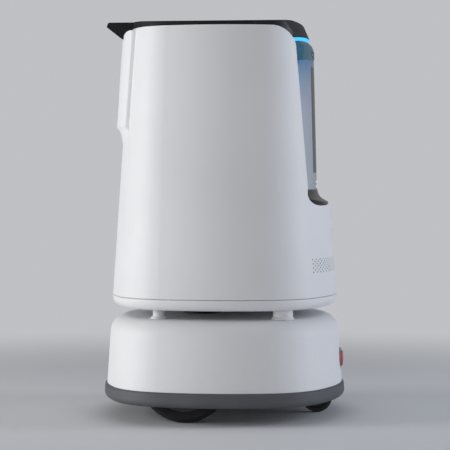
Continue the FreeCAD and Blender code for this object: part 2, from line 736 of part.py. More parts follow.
# stop button: a round-headed push button in a flanged collar through the front of the base
front_face = "body_half_length + (seam_level - stop_level) * wall_lean"
collar = turned("stop_collar", ("stop_radius - 6", "-26"), ("stop_radius", "-26"), ("stop_radius + 5", "-20"),
                ("stop_radius + 5", "1.5", "1"), ("stop_radius + gap", "1.5"), ("stop_radius + gap", "-10"),
                ("stop_radius - 8", "-10"), ("stop_radius - 8", "-22"), ("stop_radius - 6", "-22"))
node(place(collar, front_face, "0", "stop_level", (0, 1, 0), 90), "stop_button_collar")
button = turned("stop_head", ("0", "-21"), ("stop_radius - 8 - fit", "-21"), ("stop_radius - 8 - fit", "-5"),
                ("stop_radius - 1", "-5", "1"), ("stop_radius", "0", "3"), ("stop_radius - 3", "6", "6"), ("0", "7.5"))
node(place(button, front_face, "0", "stop_level", (0, 1, 0), 90), "stop_button")
contact = slab("stop_contact", "17", "17", "24", "2")
node(place(contact, f"{front_face} - 26 - gap - 24", "0", "stop_level", (0, 1, 0), 90), "stop_contact_block")

back_face = "body_half_length + (seam_level - power_level) * wall_lean"
power_back = f"-({back_face}) + 10.2"
bezel = turned("power_bezel", ("power_radius + gap / 3", "-18"), ("power_radius + 1.5", "-18"),
               ("power_radius + 1.5", "3", "0.5"), ("power_radius + gap / 3", "3"))
node(place(bezel, power_back, "power_side", "power_level", (0, 1, 0), -90), "power_button_bezel")
cap = turned("power_cap", ("0", "-14"), ("power_radius", "-14"), ("power_radius", "4", "0.8"), ("0", "4.5"))
node(place(cap, power_back, "power_side", "power_level", (0, 1, 0), -90), "power_button")

charge_back = "-(body_half_length + (seam_level - charge_level) * wall_lean) + 11"
carrier = slab("charge_carrier", "charge_half_height", "charge_half_width", "8", "3")
strips = []
for way in ("", "-"):
    z = f"{way}strip_spacing / 2"
    seat = sketch(carrier, offset="8")
    outline(seat, (f"{z} + 3 + gap", "strip_half_width + gap"), (f"{z} - 3 - gap", "strip_half_width + gap"),
            (f"{z} - 3 - gap", "-strip_half_width - gap"), (f"{z} + 3 + gap", "-strip_half_width - gap"))
    pocket(carrier, seat, "5")
    strip = slab("charge_strip", "3", "strip_half_width", "6", "1.5")
    strips.append(place(strip, f"{charge_back} - 3", "0", f"charge_level + {z}", (0, 1, 0), -90))
node(place(carrier, charge_back, "0", "charge_level", (0, 1, 0), -90), "charge_contact_carrier")
node(group("charge_pair", *strips), "charge_contacts")

# ---- upper body --------------------------------------------------------------------------------

owner = body("skirt")
tub = skin(owner, "skirt_bottom", "seam_level - seam_groove", "0")
rounded = soften(owner, tub, lambda: flat_edges(tub, "skirt_bottom"), "skirt_round")
skin(owner, "seam_level - seam_groove", "seam_level - seam_gap", "0", "seam_groove")
holes = sketch(owner)
for side in ("post_side", "-post_side"):
    circles(holes, ("front_post_forward", side, "front_post_radius + gap"),
            ("-rear_post_back", side, "rear_post_radius + gap"))
pocket(owner, holes)
hollow = body("skirt_hollow")
core = skin(hollow, "skirt_bottom + shell_wall", "seam_level + 1", "shell_wall")
soften(hollow, core, lambda: flat_edges(core, "skirt_bottom + shell_wall"), "skirt_round - shell_wall")
node(combine("Cut", owner, hollow), "skirt_pan")

owner = body("deck")
edge = sketch(owner, offset=deck_foot)
plan(edge, deck_foot, "shell_wall + skirt_round")
pad(owner, edge, "deck_thickness")
node(owner, "upper_deck")
deck_level = f"{deck_foot} + deck_thickness"

owner = body("main_shell")
skin(owner, "seam_level", "seam_level + seam_groove", "seam_groove", "0")
skin(owner, "seam_level + seam_groove", "shell_top + 20", "0")
profile = sketch(owner, "XZ_Plane")
back = "-(body_half_length - (shell_top - seam_level) * wall_lean + 20)"
outline(profile, ("-400", "shell_top + 40"), ("400", "shell_top + 40"),
        ("400", "sill_level + 8"), ("sill_lip_forward", "sill_level + 4"),
        ("sill_lip_forward - 10", "sill_level", "12"),
        ("cheek_low_forward", "sill_level", "sill_round"), ("cheek_low_forward", "cheek_low_level", "60"),
        ("cheek_top_forward", "cheek_top_level"), ("cheek_top_forward - 2", "shell_top", "cheek_round"),
        ("-(hatch_proud + 220)", "shell_top", "rear_round"), ("-(hatch_proud + 220)", "shell_top - rear_round - 4"),
        ("-400", "shell_top - rear_round - 4"))
pocket(owner, profile)
bay_hole = sketch(owner, "YZ_Plane")
mouth, over, under = "bay_half_width - bay_wall", "bay_high - bay_wall", "bay_low + bay_wall"
outline(bay_hole, (mouth, over, "8"), (f"-({mouth})", over, "8"), (f"-({mouth})", under, "8"), (mouth, under, "8"))
pocket(owner, bay_hole, "body_half_length * 2")
lip_notch = block(("-300", "-lip_half_width - gap", "lip_root_level - gap"),
                  ("-170", "lip_half_width + gap", "shell_top + 20"))
wall = combine("Cut", owner, skin_body("shell_core", "seam_level - 1", "shell_top + 21", "shell_wall"))
node(combine("Cut", wall, lip_notch), "body_shell")

cavity = skin_body("cavity", "sill_level - 40", "cap_top + 10", "shell_wall + gap * 2")
posts = []
for x in ("upright_forward", "-upright_forward"):
    for y in ("upright_side", "-upright_side"):
        low = (f"{x} - upright_size / 2", f"{y} - upright_size / 2", deck_level)
        posts.append(block(low, (f"{x} + upright_size / 2", f"{y} + upright_size / 2", "light_top - 7")))
node(group("uprights", *posts), "frame_uprights")
owner = body("top_ring")
rim = sketch(owner, offset="light_top - 7")
box_outline(rim, "upright_forward + 30", "upright_side + 28", "20")
box_outline(rim, "upright_forward - 20", "upright_side - 20", "12")
pad(owner, rim, "6")
node(owner, "top_frame")

outer_box = block(("-300", "-bay_half_width", "bay_low"), ("bay_end", "bay_half_width", "bay_high"))
inner_box = block(("-320", "-bay_half_width + bay_wall", "bay_low + bay_wall"),
                  ("bay_end - bay_wall", "bay_half_width - bay_wall", "bay_high - bay_wall"))
node(combine("Cut", combine("Common", outer_box, cavity), inner_box), "service_bay")

# hatch: a proud cover on the back, with a finger lip and a cove along its lower edge
shape = body("hatch_form")
cove = ((0, "1.2"), (9, "2.2"), (18, "4.4"), (27, "8"))
for (rise, proud), (next_rise, next_proud) in zip(cove, cove[1:]):
    skin(shape, f"hatch_low + {rise}", f"hatch_low + {next_rise}", f"-{proud}", f"-{next_proud}")
skin(shape, "hatch_low + 27", "hatch_lip", "-8", "-hatch_proud")
skin(shape, "hatch_lip", "hatch_high", "-hatch_proud")
corner = sketch(shape, "XZ_Plane")
outline(corner, ("-400", "shell_top + 40"), ("0", "shell_top + 40"), ("0", "shell_top"),
        ("-(hatch_proud + 220)", "shell_top", "rear_round"), ("-(hatch_proud + 220)", "shell_top - rear_round - 4"),
        ("-400", "shell_top - rear_round - 4"))
pocket(shape, corner)
keep = body("hatch_keep")
front_view = sketch(keep, "YZ_Plane")
over, under = "hatch_high + 10", "hatch_low - 10"
notch_side, notch_floor = "lip_half_width + lip_clearance", "lip_root_level - 3.5"
outline(front_view, ("hatch_half_width", under), ("hatch_half_width", over),
        (notch_side, over), (notch_side, notch_floor, "2"),
        (f"-({notch_side})", notch_floor, "2"), (f"-({notch_side})", over),
        ("-hatch_half_width", over), ("-hatch_half_width", under))
pad(keep, front_view, "400").Reversed = True
keep = combine("Cut", keep, skin_body("hatch_seat", "hatch_low - 1", "hatch_high + 1", "-hatch_gap"))
core = skin_body("hatch_core", "hatch_lip + 8", "shell_top - rear_round", "-hatch_proud + hatch_skin")
core_keep = block(("-400", "-hatch_half_width + hatch_skin", "hatch_low"),
                  ("-60", "hatch_half_width - hatch_skin", "hatch_high"))
node(combine("Cut", combine("Common", shape, keep), combine("Common", core, core_keep)), "rear_hatch")

lean = math.degrees(math.atan(value("hinge_lean")))


def on_hinge(thing, along):
    """Stands a piece on the hinge line, a distance along it from its middle."""
    rise = f"({along}) * {math.cos(math.radians(lean)):.6f}"
    place(thing, f"-hinge_back + ({rise}) * hinge_lean", "hinge_side", f"hinge_level + {rise}", (0, 1, 0), lean)
    return thing


fixed, moving = [], []
for along in ("hinge_spread", "-hinge_spread"):
    tube = body("fixed_knuckle")
    for low in ("-18", "7"):
        ring = sketch(tube, offset=low)
        circles(ring, ("0", "0", "barrel_radius"))
        pad(tube, ring, "11")
    pin = sketch(tube, offset="-18")
    circles(pin, ("0", "0", "2"))
    pad(tube, pin, "36")
    for low in ("-18", "7"):
        arm = sketch(tube, offset=low)
        outline(arm, ("-3.6", "2"), ("1", "2"), ("11", "15"), ("7.5", "15"))
        pad(tube, arm, "11")
    fixed.append(on_hinge(tube, along))
    swing = body("moving_knuckle")
    ring = sketch(swing, offset="-7 + gap")
    circles(ring, ("0", "0", "barrel_radius"))
    pad(swing, ring, "14 - gap * 2")
    arm = sketch(swing, offset="-7 + gap")
    outline(arm, ("-12", "-6.7"), ("3", "-6.7"), ("3", "-2"), ("-3", "-2"), ("-3", "-4.7"), ("-12", "-4.7"))
    pad(swing, arm, "14 - gap * 2")
    bore = sketch(swing, offset="10")
    circles(bore, ("0", "0", "2 + fit"))
    pocket(swing, bore)
    moving.append(on_hinge(swing, along))
node(group("fixed_leaves", *fixed), "hatch_hinge_fixed")
node(group("moving_leaves", *moving), "hatch_hinge_moving")

ring = combine("Cut", skin_body("catch_ring", "720", "760", "-9"), skin_body("catch_seat", "719", "761", "-gap"))
node(combine("Common", ring, block(("-260", "-138", "722"), ("-150", "-126", "758"))), "hatch_catch")

# ---- front -------------------------------------------------------------------------------------

def between(name, low, high):
    """A wide slab whose two faces both climb towards the front, at given levels under the face."""
    owner = body(name)
    made = sketch(owner, "XZ_Plane")
    back, front = "face_forward - 140", "face_forward + 40"
    outline(made, (back, f"{low} - 140 * brow_rise"), (front, f"{low} + 40 * brow_rise"),
            (front, f"{high} + 40 * brow_rise"), (back, f"{high} - 140 * brow_rise"))
    pad(owner, made, "body_half_width * 2", both_ways=True)
    return owner


def trim(thing, *tools):
    """What a piece shares with every tool."""
    for tool in tools:
        thing = combine("Common", thing, tool)
    return thing


foot_level = "sill_level + 4"
strip = face_turn("fascia_strip", (face_at(foot_level), foot_level), (face_at("fascia_top + 8"), "fascia_top + 8"),
                  (face_at("fascia_top + 8", "fascia_thickness"), "fascia_top + 8"),
                  (face_at(foot_level, "fascia_thickness"), foot_level))
window = body("display_window")
frame_sketch = sketch(window, "YZ_Plane")
outline(frame_sketch, ("display_half_width", "display_high", "display_round"),
        ("-display_half_width", "display_high", "display_round"),
        ("-display_half_width", "display_low", "display_round"),
        ("display_half_width", "display_low", "display_round"))
pad(window, frame_sketch, "400")
strip = trim(strip, cavity, between("below_brow", "sill_level - 60", "fascia_top"))
node(combine("Cut", strip, window), "front_fascia")
pane = face_turn("display_pane", (face_at("display_low - 20", "-0.15"), "display_low - 20"),
                 (face_at("display_high + 10", "-0.15"), "display_high + 10"),
                 (face_at("display_high + 10", "9"), "display_high + 10"),
                 (face_at("display_low - 20", "9"), "display_low - 20"))
pane_form = body("display_form")
pane_sketch = sketch(pane_form, "YZ_Plane")
outline(pane_sketch, ("display_half_width - gap", "display_high - gap", "display_round - gap"),
        ("-display_half_width + gap", "display_high - gap", "display_round - gap"),
        ("-display_half_width + gap", "display_low + gap", "display_round - gap"),
        ("display_half_width - gap", "display_low + gap", "display_round - gap"))
pad(pane_form, pane_sketch, "400")
node(trim(pane, pane_form), "front_display")

brow_foot, brow_back = "fascia_top - 30", "face_forward - brow_depth"
brow = face_turn("sensor_brow", ("face_forward", brow_foot), ("face_forward", "sensor_top", "24"),
                 (brow_back, "sensor_top"), (brow_back, brow_foot))
brow = trim(brow, cavity, between("brow_slab", "fascia_top + gap", "sensor_top"))
eyes = body("lens_holes")
eye_sketch = sketch(eyes, "YZ_Plane", "face_forward - 6")
lenses = []
for y in ("0", "lens_spacing", "-lens_spacing"):
    level = "fascia_top + 13"
    circles(eye_sketch, (y, level, "lens_radius + gap"))
    lens = turned("lens", ("0", "0"), ("lens_radius", "0"), ("lens_radius", "4", "0.6"),
                  ("lens_radius - 2", "4"), ("lens_radius - 2.5", "3"), ("0", "3.6"))
    bow = f"({y}) * ({y}) / (2 * face_bow)"
    lenses.append(place(lens, f"face_forward - 4.2 - {bow}", y, level, (0, 1, 0), 90))
pad(eyes, eye_sketch, "30")
node(combine("Cut", brow, eyes), "sensor_bar")
node(group("lens_row", *lenses), "camera_lenses")
dots = []
for level in ("display_low - 21", "display_low - 31"):
    dot = turned("dot", ("0", "0"), ("3", "0"), ("3", "1", "0.8"), ("0", "2.2"))
    dots.append(place(dot, f"{face_at(level)} + gap / 2", "0", level, (0, 1, 0), 90))
node(group("dot_pair", *dots), "status_lights")
light_face = "face_forward - light_setback"
light_back = f"{light_face} - light_depth"
bar = face_turn("light_form", (light_face, "sensor_top - 40"), (light_face, "light_top + 10"),
                (light_back, "light_top + 10"), (light_back, "sensor_top - 40"))
node(trim(bar, cavity, between("light_slab", "sensor_top + gap", "light_top - gap")), "light_bar")
peak = face_turn("visor_peak", ("cap_front + gap", "light_top + gap"), (light_back, "light_top + gap"),
                 (light_back, "light_top - 40"), (light_face, "light_top - 40"),
                 (light_face, "light_top"), (f"{light_face} - 3", "light_top + 7", "6"),
                 (f"{light_face} - 13", "cap_top - 3", "9"), ("cap_front + gap", "cap_top - 3"))
above = body("above_roof")
roof = sketch(above, "YZ_Plane")
ridge = "cap_top + roof_round * (sqrt(1 + roof_pitch * roof_pitch) - 1)"
outline(roof, ("0", ridge, "roof_round"), ("-300", f"{ridge} - 300 * roof_pitch"), ("-300", "cap_top + 60"),
        ("300", "cap_top + 60"), ("300", f"{ridge} - 300 * roof_pitch"))
pad(above, roof, "800", both_ways=True)
peak = trim(peak, cavity, between("above_light", "light_top", "cap_top + 60"))
node(combine("Cut", peak, above), "front_visor")
wedge = face_turn("sill_wedge", ("sill_lip_forward + 30", "sill_level - 12"),
                  ("sill_lip_forward + 30", "sill_level + 4.5"), ("sill_lip_forward - 2", "sill_level + 4.5"),
                  ("sill_lip_forward - 27", "sill_level + 19", "24"),
                  (face_at("sill_level + 36") + " + 0.8", "sill_level + 36"),
                  (face_at("sill_level - 12") + " + 0.8", "sill_level - 12"))
node(combine("Common", wedge, cavity), "sill_window")

# ---- top ---------------------------------------------------------------------------------------

owner = body("cap_form")
skin(owner, "light_top + gap", "cap_top + 2", "shell_wall + gap")
lip = sketch(owner, "XZ_Plane")
outline(lip, ("-190", "cap_top + 1"), ("-(lip_reach - 24)", "lip_top_level + 1", "12"),
        ("-(lip_reach - 4)", "lip_top_level", "5"), ("-lip_reach", "lip_nose_level", "4"),
        ("-(lip_reach - 34)", "lip_root_level", "3"), ("-190", "lip_root_level"))
pad(owner, lip, "lip_half_width * 2", both_ways=True)
front_cut = sketch(owner)
shift = "face_forward - face_bow"
circles(front_cut, (shift, "0", f"cap_front - ({shift})"), (shift, "0", "face_bow + 300"))
pocket(owner, front_cut)
lid = combine("Cut", owner, skin_body("cap_core", "light_top", "cap_top - 14", "shell_wall * 2 + gap"))
node(combine("Cut", lid, above), "top_cap")

# ---- inside the upper body -----------------------------------------------------------------------

brain = slab("brain", "computer_half_length", "computer_half_width", "computer_height", "4")
for fin_row in range(9):
    fin = sketch(brain, "XZ_Plane")
    x = f"{fin_row - 4} * computer_half_length / 5"
    outline(fin, (f"{x} - 6", "computer_height - 12"), (f"{x} - 6", "computer_height + 2"),
            (f"{x} + 6", "computer_height + 2"), (f"{x} + 6", "computer_height - 12"))
    pocket(brain, fin)
node(place(brain, "computer_centre", "0", deck_level), "main_computer")
speaker = slab("speaker_box", "26", "speaker_half_width", "speaker_height", "4")
cone = sketch(speaker, "YZ_Plane", "26")
circles(cone, ("0", "speaker_height / 2 + 4", "speaker_cone"))
pocket(speaker, cone, "12")
dome = sketch(speaker, "YZ_Plane", "10")
circles(dome, ("0", "speaker_height / 2 + 4", "speaker_cone / 3"))
pad(speaker, dome, "9")
node(place(speaker, "speaker_forward", "0", deck_level), "speaker_unit")
bolts = []
for x in ("front_post_forward", "-rear_post_back"):
    for y in ("post_side", "-post_side"):
        stud = turned("deck_bolt", ("0", "0"), ("9", "0"), ("9", "5", "1.5"), ("4", "5"), ("4", "3"), ("0", "3"))
        bolts.append(place(stud, x, y, deck_level))
node(group("deck_bolt_set", *bolts), "deck_bolts")

# ---- check and write -----------------------------------------------------------------------------

doc.recompute()
broken = [o.Name for o in doc.Objects if "Invalid" in o.State or "Error" in o.State]
if broken:
    raise RuntimeError(f"objects that did not build: {broken}")
os.makedirs("parts", exist_ok=True)
for part in NODES:
    if part.Shape.isNull() or not part.Shape.isValid() or not part.Shape.Solids:
        raise RuntimeError(f"{part.Label} has no valid solid")
    part.Shape.exportStep(os.path.join("parts", f"{part.Label}.step"))
print(f"{len(NODES)} sub-parts written")
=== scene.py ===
import logging
import math
from dataclasses import dataclass
from enum import Enum
from typing import Callable, Sequence

import bmesh
import bpy
from mathutils import Matrix, Vector
from mathutils.bvhtree import BVHTree


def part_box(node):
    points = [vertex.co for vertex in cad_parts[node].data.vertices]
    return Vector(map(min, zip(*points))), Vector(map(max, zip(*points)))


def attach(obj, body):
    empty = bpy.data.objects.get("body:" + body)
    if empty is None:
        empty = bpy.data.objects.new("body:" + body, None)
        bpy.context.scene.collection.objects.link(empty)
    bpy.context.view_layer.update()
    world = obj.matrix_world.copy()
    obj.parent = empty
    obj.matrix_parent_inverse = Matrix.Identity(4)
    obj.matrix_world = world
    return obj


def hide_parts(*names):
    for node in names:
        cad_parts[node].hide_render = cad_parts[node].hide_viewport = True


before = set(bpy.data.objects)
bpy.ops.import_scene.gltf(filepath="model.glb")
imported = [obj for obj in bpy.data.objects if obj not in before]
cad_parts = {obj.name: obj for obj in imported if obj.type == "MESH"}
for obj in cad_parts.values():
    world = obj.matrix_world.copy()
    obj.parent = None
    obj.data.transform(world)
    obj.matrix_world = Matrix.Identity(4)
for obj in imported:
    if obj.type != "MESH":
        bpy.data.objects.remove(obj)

log = logging.getLogger("robot")

Colour = tuple[float, float, float]
Point = tuple[float, float, float]
Outline = Sequence[tuple[float, float]]


# ---- shader building ---------------------------------------------------------------------------


def joining(operation: str, turned: bool = False) -> Callable[["Val", "Val | float"], "Val"]:
    """A method that joins two values with one Math node, the second value first where `turned`."""
    def method(first: "Val", second: "Val | float") -> "Val":
        """The joined value."""
        pair = (second, first) if turned else (first, second)
        return first.math(operation, *pair)
    return method


class Val:
    """A shader socket that takes part in Python arithmetic by adding Math nodes."""

    def __init__(self, graph: "Network", socket: bpy.types.NodeSocket) -> None:
        """Wraps a socket of a tree."""
        self.graph = graph
        self.socket = socket

    def math(self, operation: str, *values: "Val | float", clamp: bool = False) -> "Val":
        """Adds one Math node.

        Args:
            operation: Blender's name for the operation.
            values: the operands, sockets or numbers.
            clamp: keeps the result between 0 and 1.

        Returns:
            The node's result.
        """
        return self.graph.add("ShaderNodeMath", {"operation": operation, "use_clamp": clamp},
                              dict(enumerate(values)))["Value"]

    __add__ = __radd__ = joining("ADD")
    __sub__ = joining("SUBTRACT")
    __rsub__ = joining("SUBTRACT", turned=True)
    __mul__ = __rmul__ = joining("MULTIPLY")
    __truediv__ = joining("DIVIDE")
    __pow__ = joining("POWER")

    def clamp(self) -> "Val":
        """The value kept between 0 and 1."""
        return self.math("ADD", self, 0.0, clamp=True)

    def step(self, low: float, high: float) -> "Val":
        """A soft step that runs from 0 at `low` to 1 at `high`."""
        return self.graph.add("ShaderNodeMapRange", {"interpolation_type": "SMOOTHSTEP"},
                              {"Value": self, "From Min": low, "From Max": high})["Result"]

    def wave(self) -> "Val":
        """The sine of the value."""
        return self.math("SINE", self)

    def size(self) -> "Val":
        """The value without its sign."""
        return self.math("ABSOLUTE", self)


class Outputs:
    """A node's outputs, read by name as values."""

    def __init__(self, graph: "Network", node: bpy.types.Node) -> None:
        """Keeps the node and its tree."""
        self.graph = graph
        self.node = node

    def __getitem__(self, name: str) -> Val:
        """One output."""
        return Val(self.graph, self.node.outputs[name])


class Network:
    """A node tree that is filled through one method."""

    def __init__(self, tree: bpy.types.NodeTree) -> None:
        """Keeps the tree, emptied."""
        self.tree = tree
        self.tree.nodes.clear()

    def add(self, kind: str, settings: dict | None = None, inputs: dict | None = None) -> Outputs:
        """Adds a node.

        Args:
            kind: Blender's node type.
            settings: the node's own properties.
            inputs: socket name or index to a value or a number.

        Returns:
            The node's outputs.
        """
        node = self.tree.nodes.new(kind)
        for key, setting in (settings or {}).items():
            setattr(node, key, setting)
        for key, value in (inputs or {}).items():
            socket = node.inputs[key]
            if isinstance(value, Val):
                self.tree.links.new(value.socket, socket)
            elif socket.type == "RGBA" and not isinstance(value, (int, float)):
                socket.default_value = (*value[:3], 1)
            else:
                socket.default_value = value
        return Outputs(self, node)

    def parts(self, vector: Val) -> tuple[Val, Val, Val]:
        """A vector's three numbers."""
        split = self.add("ShaderNodeSeparateXYZ", None, {"Vector": vector})
        return split["X"], split["Y"], split["Z"]


class Graph(Network):
    """One material's node tree and the helpers that fill it."""

    def __init__(self, name: str) -> None:
        """Makes an empty node material."""
        self.material = bpy.data.materials.new(name)
        self.material.use_nodes = True
        super().__init__(self.material.node_tree)
        self._coords: dict[tuple, Val] = {}

    def coords(self, centre: Point = (0, 0, 0), stretch: Point = (1, 1, 1), turn: Point = (0, 0, 0)) -> Val:
        """Object coordinates about a centre, in metres, with a stretch for each axis."""
        key = (centre, stretch, turn)
        if key not in self._coords:
            place = self.add("ShaderNodeTexCoord")["Object"]
            moved = self.add("ShaderNodeMapping", {"vector_type": "POINT"},
                             {"Vector": place, "Location": [-c for c in centre]})["Vector"]
            self._coords[key] = self.add("ShaderNodeMapping", {"vector_type": "POINT"},
                                         {"Vector": moved, "Scale": stretch, "Rotation": turn})["Vector"]
        return self._coords[key]

    def noise(self, vector: Val, scale: float, detail: float = 2.0, rough: float = 0.5) -> Val:
        """Soft random variation about 0.5."""
        return self.add("ShaderNodeTexNoise", None,
                        {"Vector": vector, "Scale": scale, "Detail": detail, "Roughness": rough})["Fac"]

    def cells(self, vector: Val, scale: float) -> Val:
        """Distance to the nearest of scattered points."""
        return self.add("ShaderNodeTexVoronoi", None, {"Vector": vector, "Scale": scale})["Distance"]

    def mix(self, mask: Val | float, first: Val | Colour, second: Val | Colour) -> Val:
        """A blend of two colours."""
        made = self.add("ShaderNodeMix", {"data_type": "RGBA"})
        for index, value in ((0, mask), (6, first), (7, second)):
            socket = made.node.inputs[index]
            if isinstance(value, Val):
                self.tree.links.new(value.socket, socket)
            else:
                socket.default_value = value if index == 0 else (*value, 1)
        return Val(self, made.node.outputs[2])

    def bump(self, height: Val, depth: float, strength: float = 1.0) -> Val:
        """A normal from a height field whose full range is `depth` metres."""
        return self.add("ShaderNodeBump", None, {"Height": height, "Distance": depth,
                                                "Strength": strength})["Normal"]

    def reach(self, a: Val, b: Val) -> Val:
        """How far the point (a, b) lies from the origin."""
        return (a * a + b * b) ** 0.5

    def edge_wear(self, radius: float) -> Val:
        """0 on flats, up to 1 at outward edges, from how far a rounded normal leaves the real one."""
        soft = self.add("ShaderNodeBevel", {"samples": 4}, {"Radius": radius})["Normal"]
        hard = self.add("ShaderNodeNewGeometry")["Normal"]
        match = self.add("ShaderNodeVectorMath", {"operation": "DOT_PRODUCT"}, {0: soft, 1: hard})["Value"]
        return ((1.0 - match) * 3.0).clamp()

    def finish(self, **sockets: Val | float | Colour) -> bpy.types.Material:
        """Adds the surface shader and closes the material.

        Args:
            sockets: the shader's inputs, with _ for a space in each name.

        Returns:
            The finished material.
        """
        shader = self.add("ShaderNodeBsdfPrincipled", None,
                          {name.replace("_", " "): value for name, value in sockets.items()})
        self.add("ShaderNodeOutputMaterial", None, {"Surface": shader["BSDF"]})
        return self.material


# ---- finishes ----------------------------------------------------------------------------------

WHITE: Colour = (0.80, 0.80, 0.81)
STEEL: Colour = (0.60, 0.61, 0.63)
ALLOY: Colour = (0.66, 0.67, 0.69)
BLACK: Colour = (0.02, 0.02, 0.022)
COAT: Colour = (0.045, 0.045, 0.05)
CASE: Colour = (0.16, 0.165, 0.18)
DUST: Colour = (0.36, 0.34, 0.31)


def shade(colour: Colour, factor: float) -> Colour:
    """A colour made lighter or darker."""
    return tuple(min(1.0, c * factor) for c in colour)


Sockets = dict[str, Val | float | Colour]


@dataclass(frozen=True)
class Finish:
    """What a piece wears; each kind works out its own surface."""

    name: str

    def build(self) -> bpy.types.Material:
        """The material."""
        g = Graph(self.name)
        return g.finish(**self.surface(g))

    def surface(self, g: Graph) -> Sockets:
        """The shader's inputs.

        Args:
            g: the material's tree.

        Returns:
            Each input's name, with _ for a space, and its value.
        """
        raise NotImplementedError


@dataclass(frozen=True)
class Moulded(Finish):
    """Satin moulded plastic with a fine spark-eroded grain and faint handling marks."""

    colour: Colour
    roughness: float = 0.52
    grain: float = 0.00004
    soil: float = 0.15

    def surface(self, g: Graph) -> Sockets:
        """The shader's inputs."""
        at = g.coords()
        broad = g.noise(at, 5.0, 3.0)
        smear = g.noise(g.coords(stretch=(1, 1, 0.35)), 26.0, 4.0, 0.6)
        grain = g.noise(at, 2600.0, 1.0)
        _, _, height = g.parts(at)
        low = 1.0 - height.step(0.06, 0.16)
        dust = (g.noise(at, 60.0, 5.0, 0.7).step(0.45, 0.75) * low * self.soil).clamp()
        colour = g.mix(broad.step(0.35, 0.65), shade(self.colour, 0.975), self.colour)
        colour = g.mix(dust * 0.35, colour, DUST)
        rough = self.roughness + (smear - 0.5) * 0.16 + dust * 0.2
        return dict(Base_Color=colour, Roughness=rough, Normal=g.bump(grain, self.grain, 0.6),
                    IOR=1.46, Specular_IOR_Level=0.4)


@dataclass(frozen=True)
class Rubber(Finish):
    """Moulded rubber: a pebbled skin, dusty bloom and scuffs along its edges."""

    colour: Colour
    roughness: float = 0.72
    pebble: float = 900.0
    depth: float = 0.00012

    def surface(self, g: Graph) -> Sockets:
        """The shader's inputs."""
        at = g.coords()
        pebble = g.cells(at, self.pebble)
        bloom = g.noise(at, 14.0, 4.0, 0.6).step(0.4, 0.75)
        scuff = g.noise(g.coords(stretch=(1, 1, 6)), 45.0, 5.0, 0.7).step(0.62, 0.72)
        colour = g.mix(bloom * 0.25, self.colour, shade(self.colour, 1.5))
        colour = g.mix(scuff * 0.22, colour, shade(self.colour, 2.0))
        return dict(Base_Color=colour, Roughness=self.roughness + (bloom - 0.5) * 0.12 - scuff * 0.08,
                    Normal=g.bump(pebble, self.depth, 0.5), Specular_IOR_Level=0.35)


@dataclass(frozen=True)
class Tyre(Finish):
    """Tyre rubber with sipes cut across the tread, worn paler where it meets the floor."""

    centre: Point
    radius: float
    colour: Colour = (0.014, 0.014, 0.015)

    def surface(self, g: Graph) -> Sockets:
        """The shader's inputs."""
        at = g.coords(self.centre)
        x, y, z = g.parts(at)
        turn = g.add("ShaderNodeMath", {"operation": "ARCTAN2"}, {0: x, 1: z})["Value"]
        tread = g.reach(x, z).step(self.radius - 0.006, self.radius - 0.002)
        sipe = (turn * 60.0 + y.size() * 260.0).wave().step(0.82, 0.97)
        pebble = g.cells(at, 1100.0)
        dust = g.noise(at, 70.0, 5.0, 0.7).step(0.4, 0.7)
        height = 0.5 + pebble * 0.12 - sipe * tread * 0.5
        colour = g.mix(dust * 0.14 + tread * 0.05, self.colour, (0.09, 0.086, 0.082))
        # painted shade: the sipes in the tread are painted darker than the rubber around them
        colour = g.mix(sipe * tread, colour, (0.01, 0.01, 0.011))
        return dict(Base_Color=colour, Roughness=0.78 - tread * 0.06 + dust * 0.08,
                    Normal=g.bump(height, 0.0012, 0.8), Specular_IOR_Level=0.35)


@dataclass(frozen=True)
class Metal(Finish):
    """Bare or plated metal, brushed along one direction, a little brighter along its edges."""

    colour: Colour
    roughness: float = 0.34
    brush: Point = (1, 1, 14)
    tarnish: float = 0.35

    def surface(self, g: Graph) -> Sockets:
        """The shader's inputs."""
        lines = g.noise(g.coords(stretch=self.brush), 420.0, 3.0, 0.6)
        patch = g.noise(g.coords(), 38.0, 4.0, 0.6).step(0.4, 0.72)
        wear = g.edge_wear(0.0008)
        colour = g.mix(patch * self.tarnish, self.colour, shade(self.colour, 0.66))
        colour = g.mix(wear * 0.5, colour, shade(self.colour, 1.25))
        return dict(Base_Color=colour, Metallic=1.0, Normal=g.bump(lines, 0.00003, 0.5),
                    Roughness=self.roughness + (lines - 0.5) * 0.2 + patch * 0.1 - wear * 0.06)


@dataclass(frozen=True)
class PowderCoat(Finish):
    """Powder-coated steel: orange-peel skin, worn through to paler metal on its edges."""

    colour: Colour
    roughness: float = 0.5

    def surface(self, g: Graph) -> Sockets:
        """The shader's inputs."""
        at = g.coords()
        peel = g.noise(at, 520.0, 2.0)
        wear = (g.edge_wear(0.001) * g.noise(at, 120.0, 4.0, 0.7).step(0.42, 0.6)).clamp()
        dust = g.noise(at, 22.0, 5.0, 0.65).step(0.45, 0.75)
        colour = g.mix(dust * 0.25, self.colour, (0.16, 0.155, 0.15))
        colour = g.mix(wear, colour, (0.42, 0.42, 0.43))
        return dict(Base_Color=colour, Roughness=self.roughness + dust * 0.15 - wear * 0.15,
                    Metallic=wear * 0.8, Normal=g.bump(peel, 0.00008, 0.6))


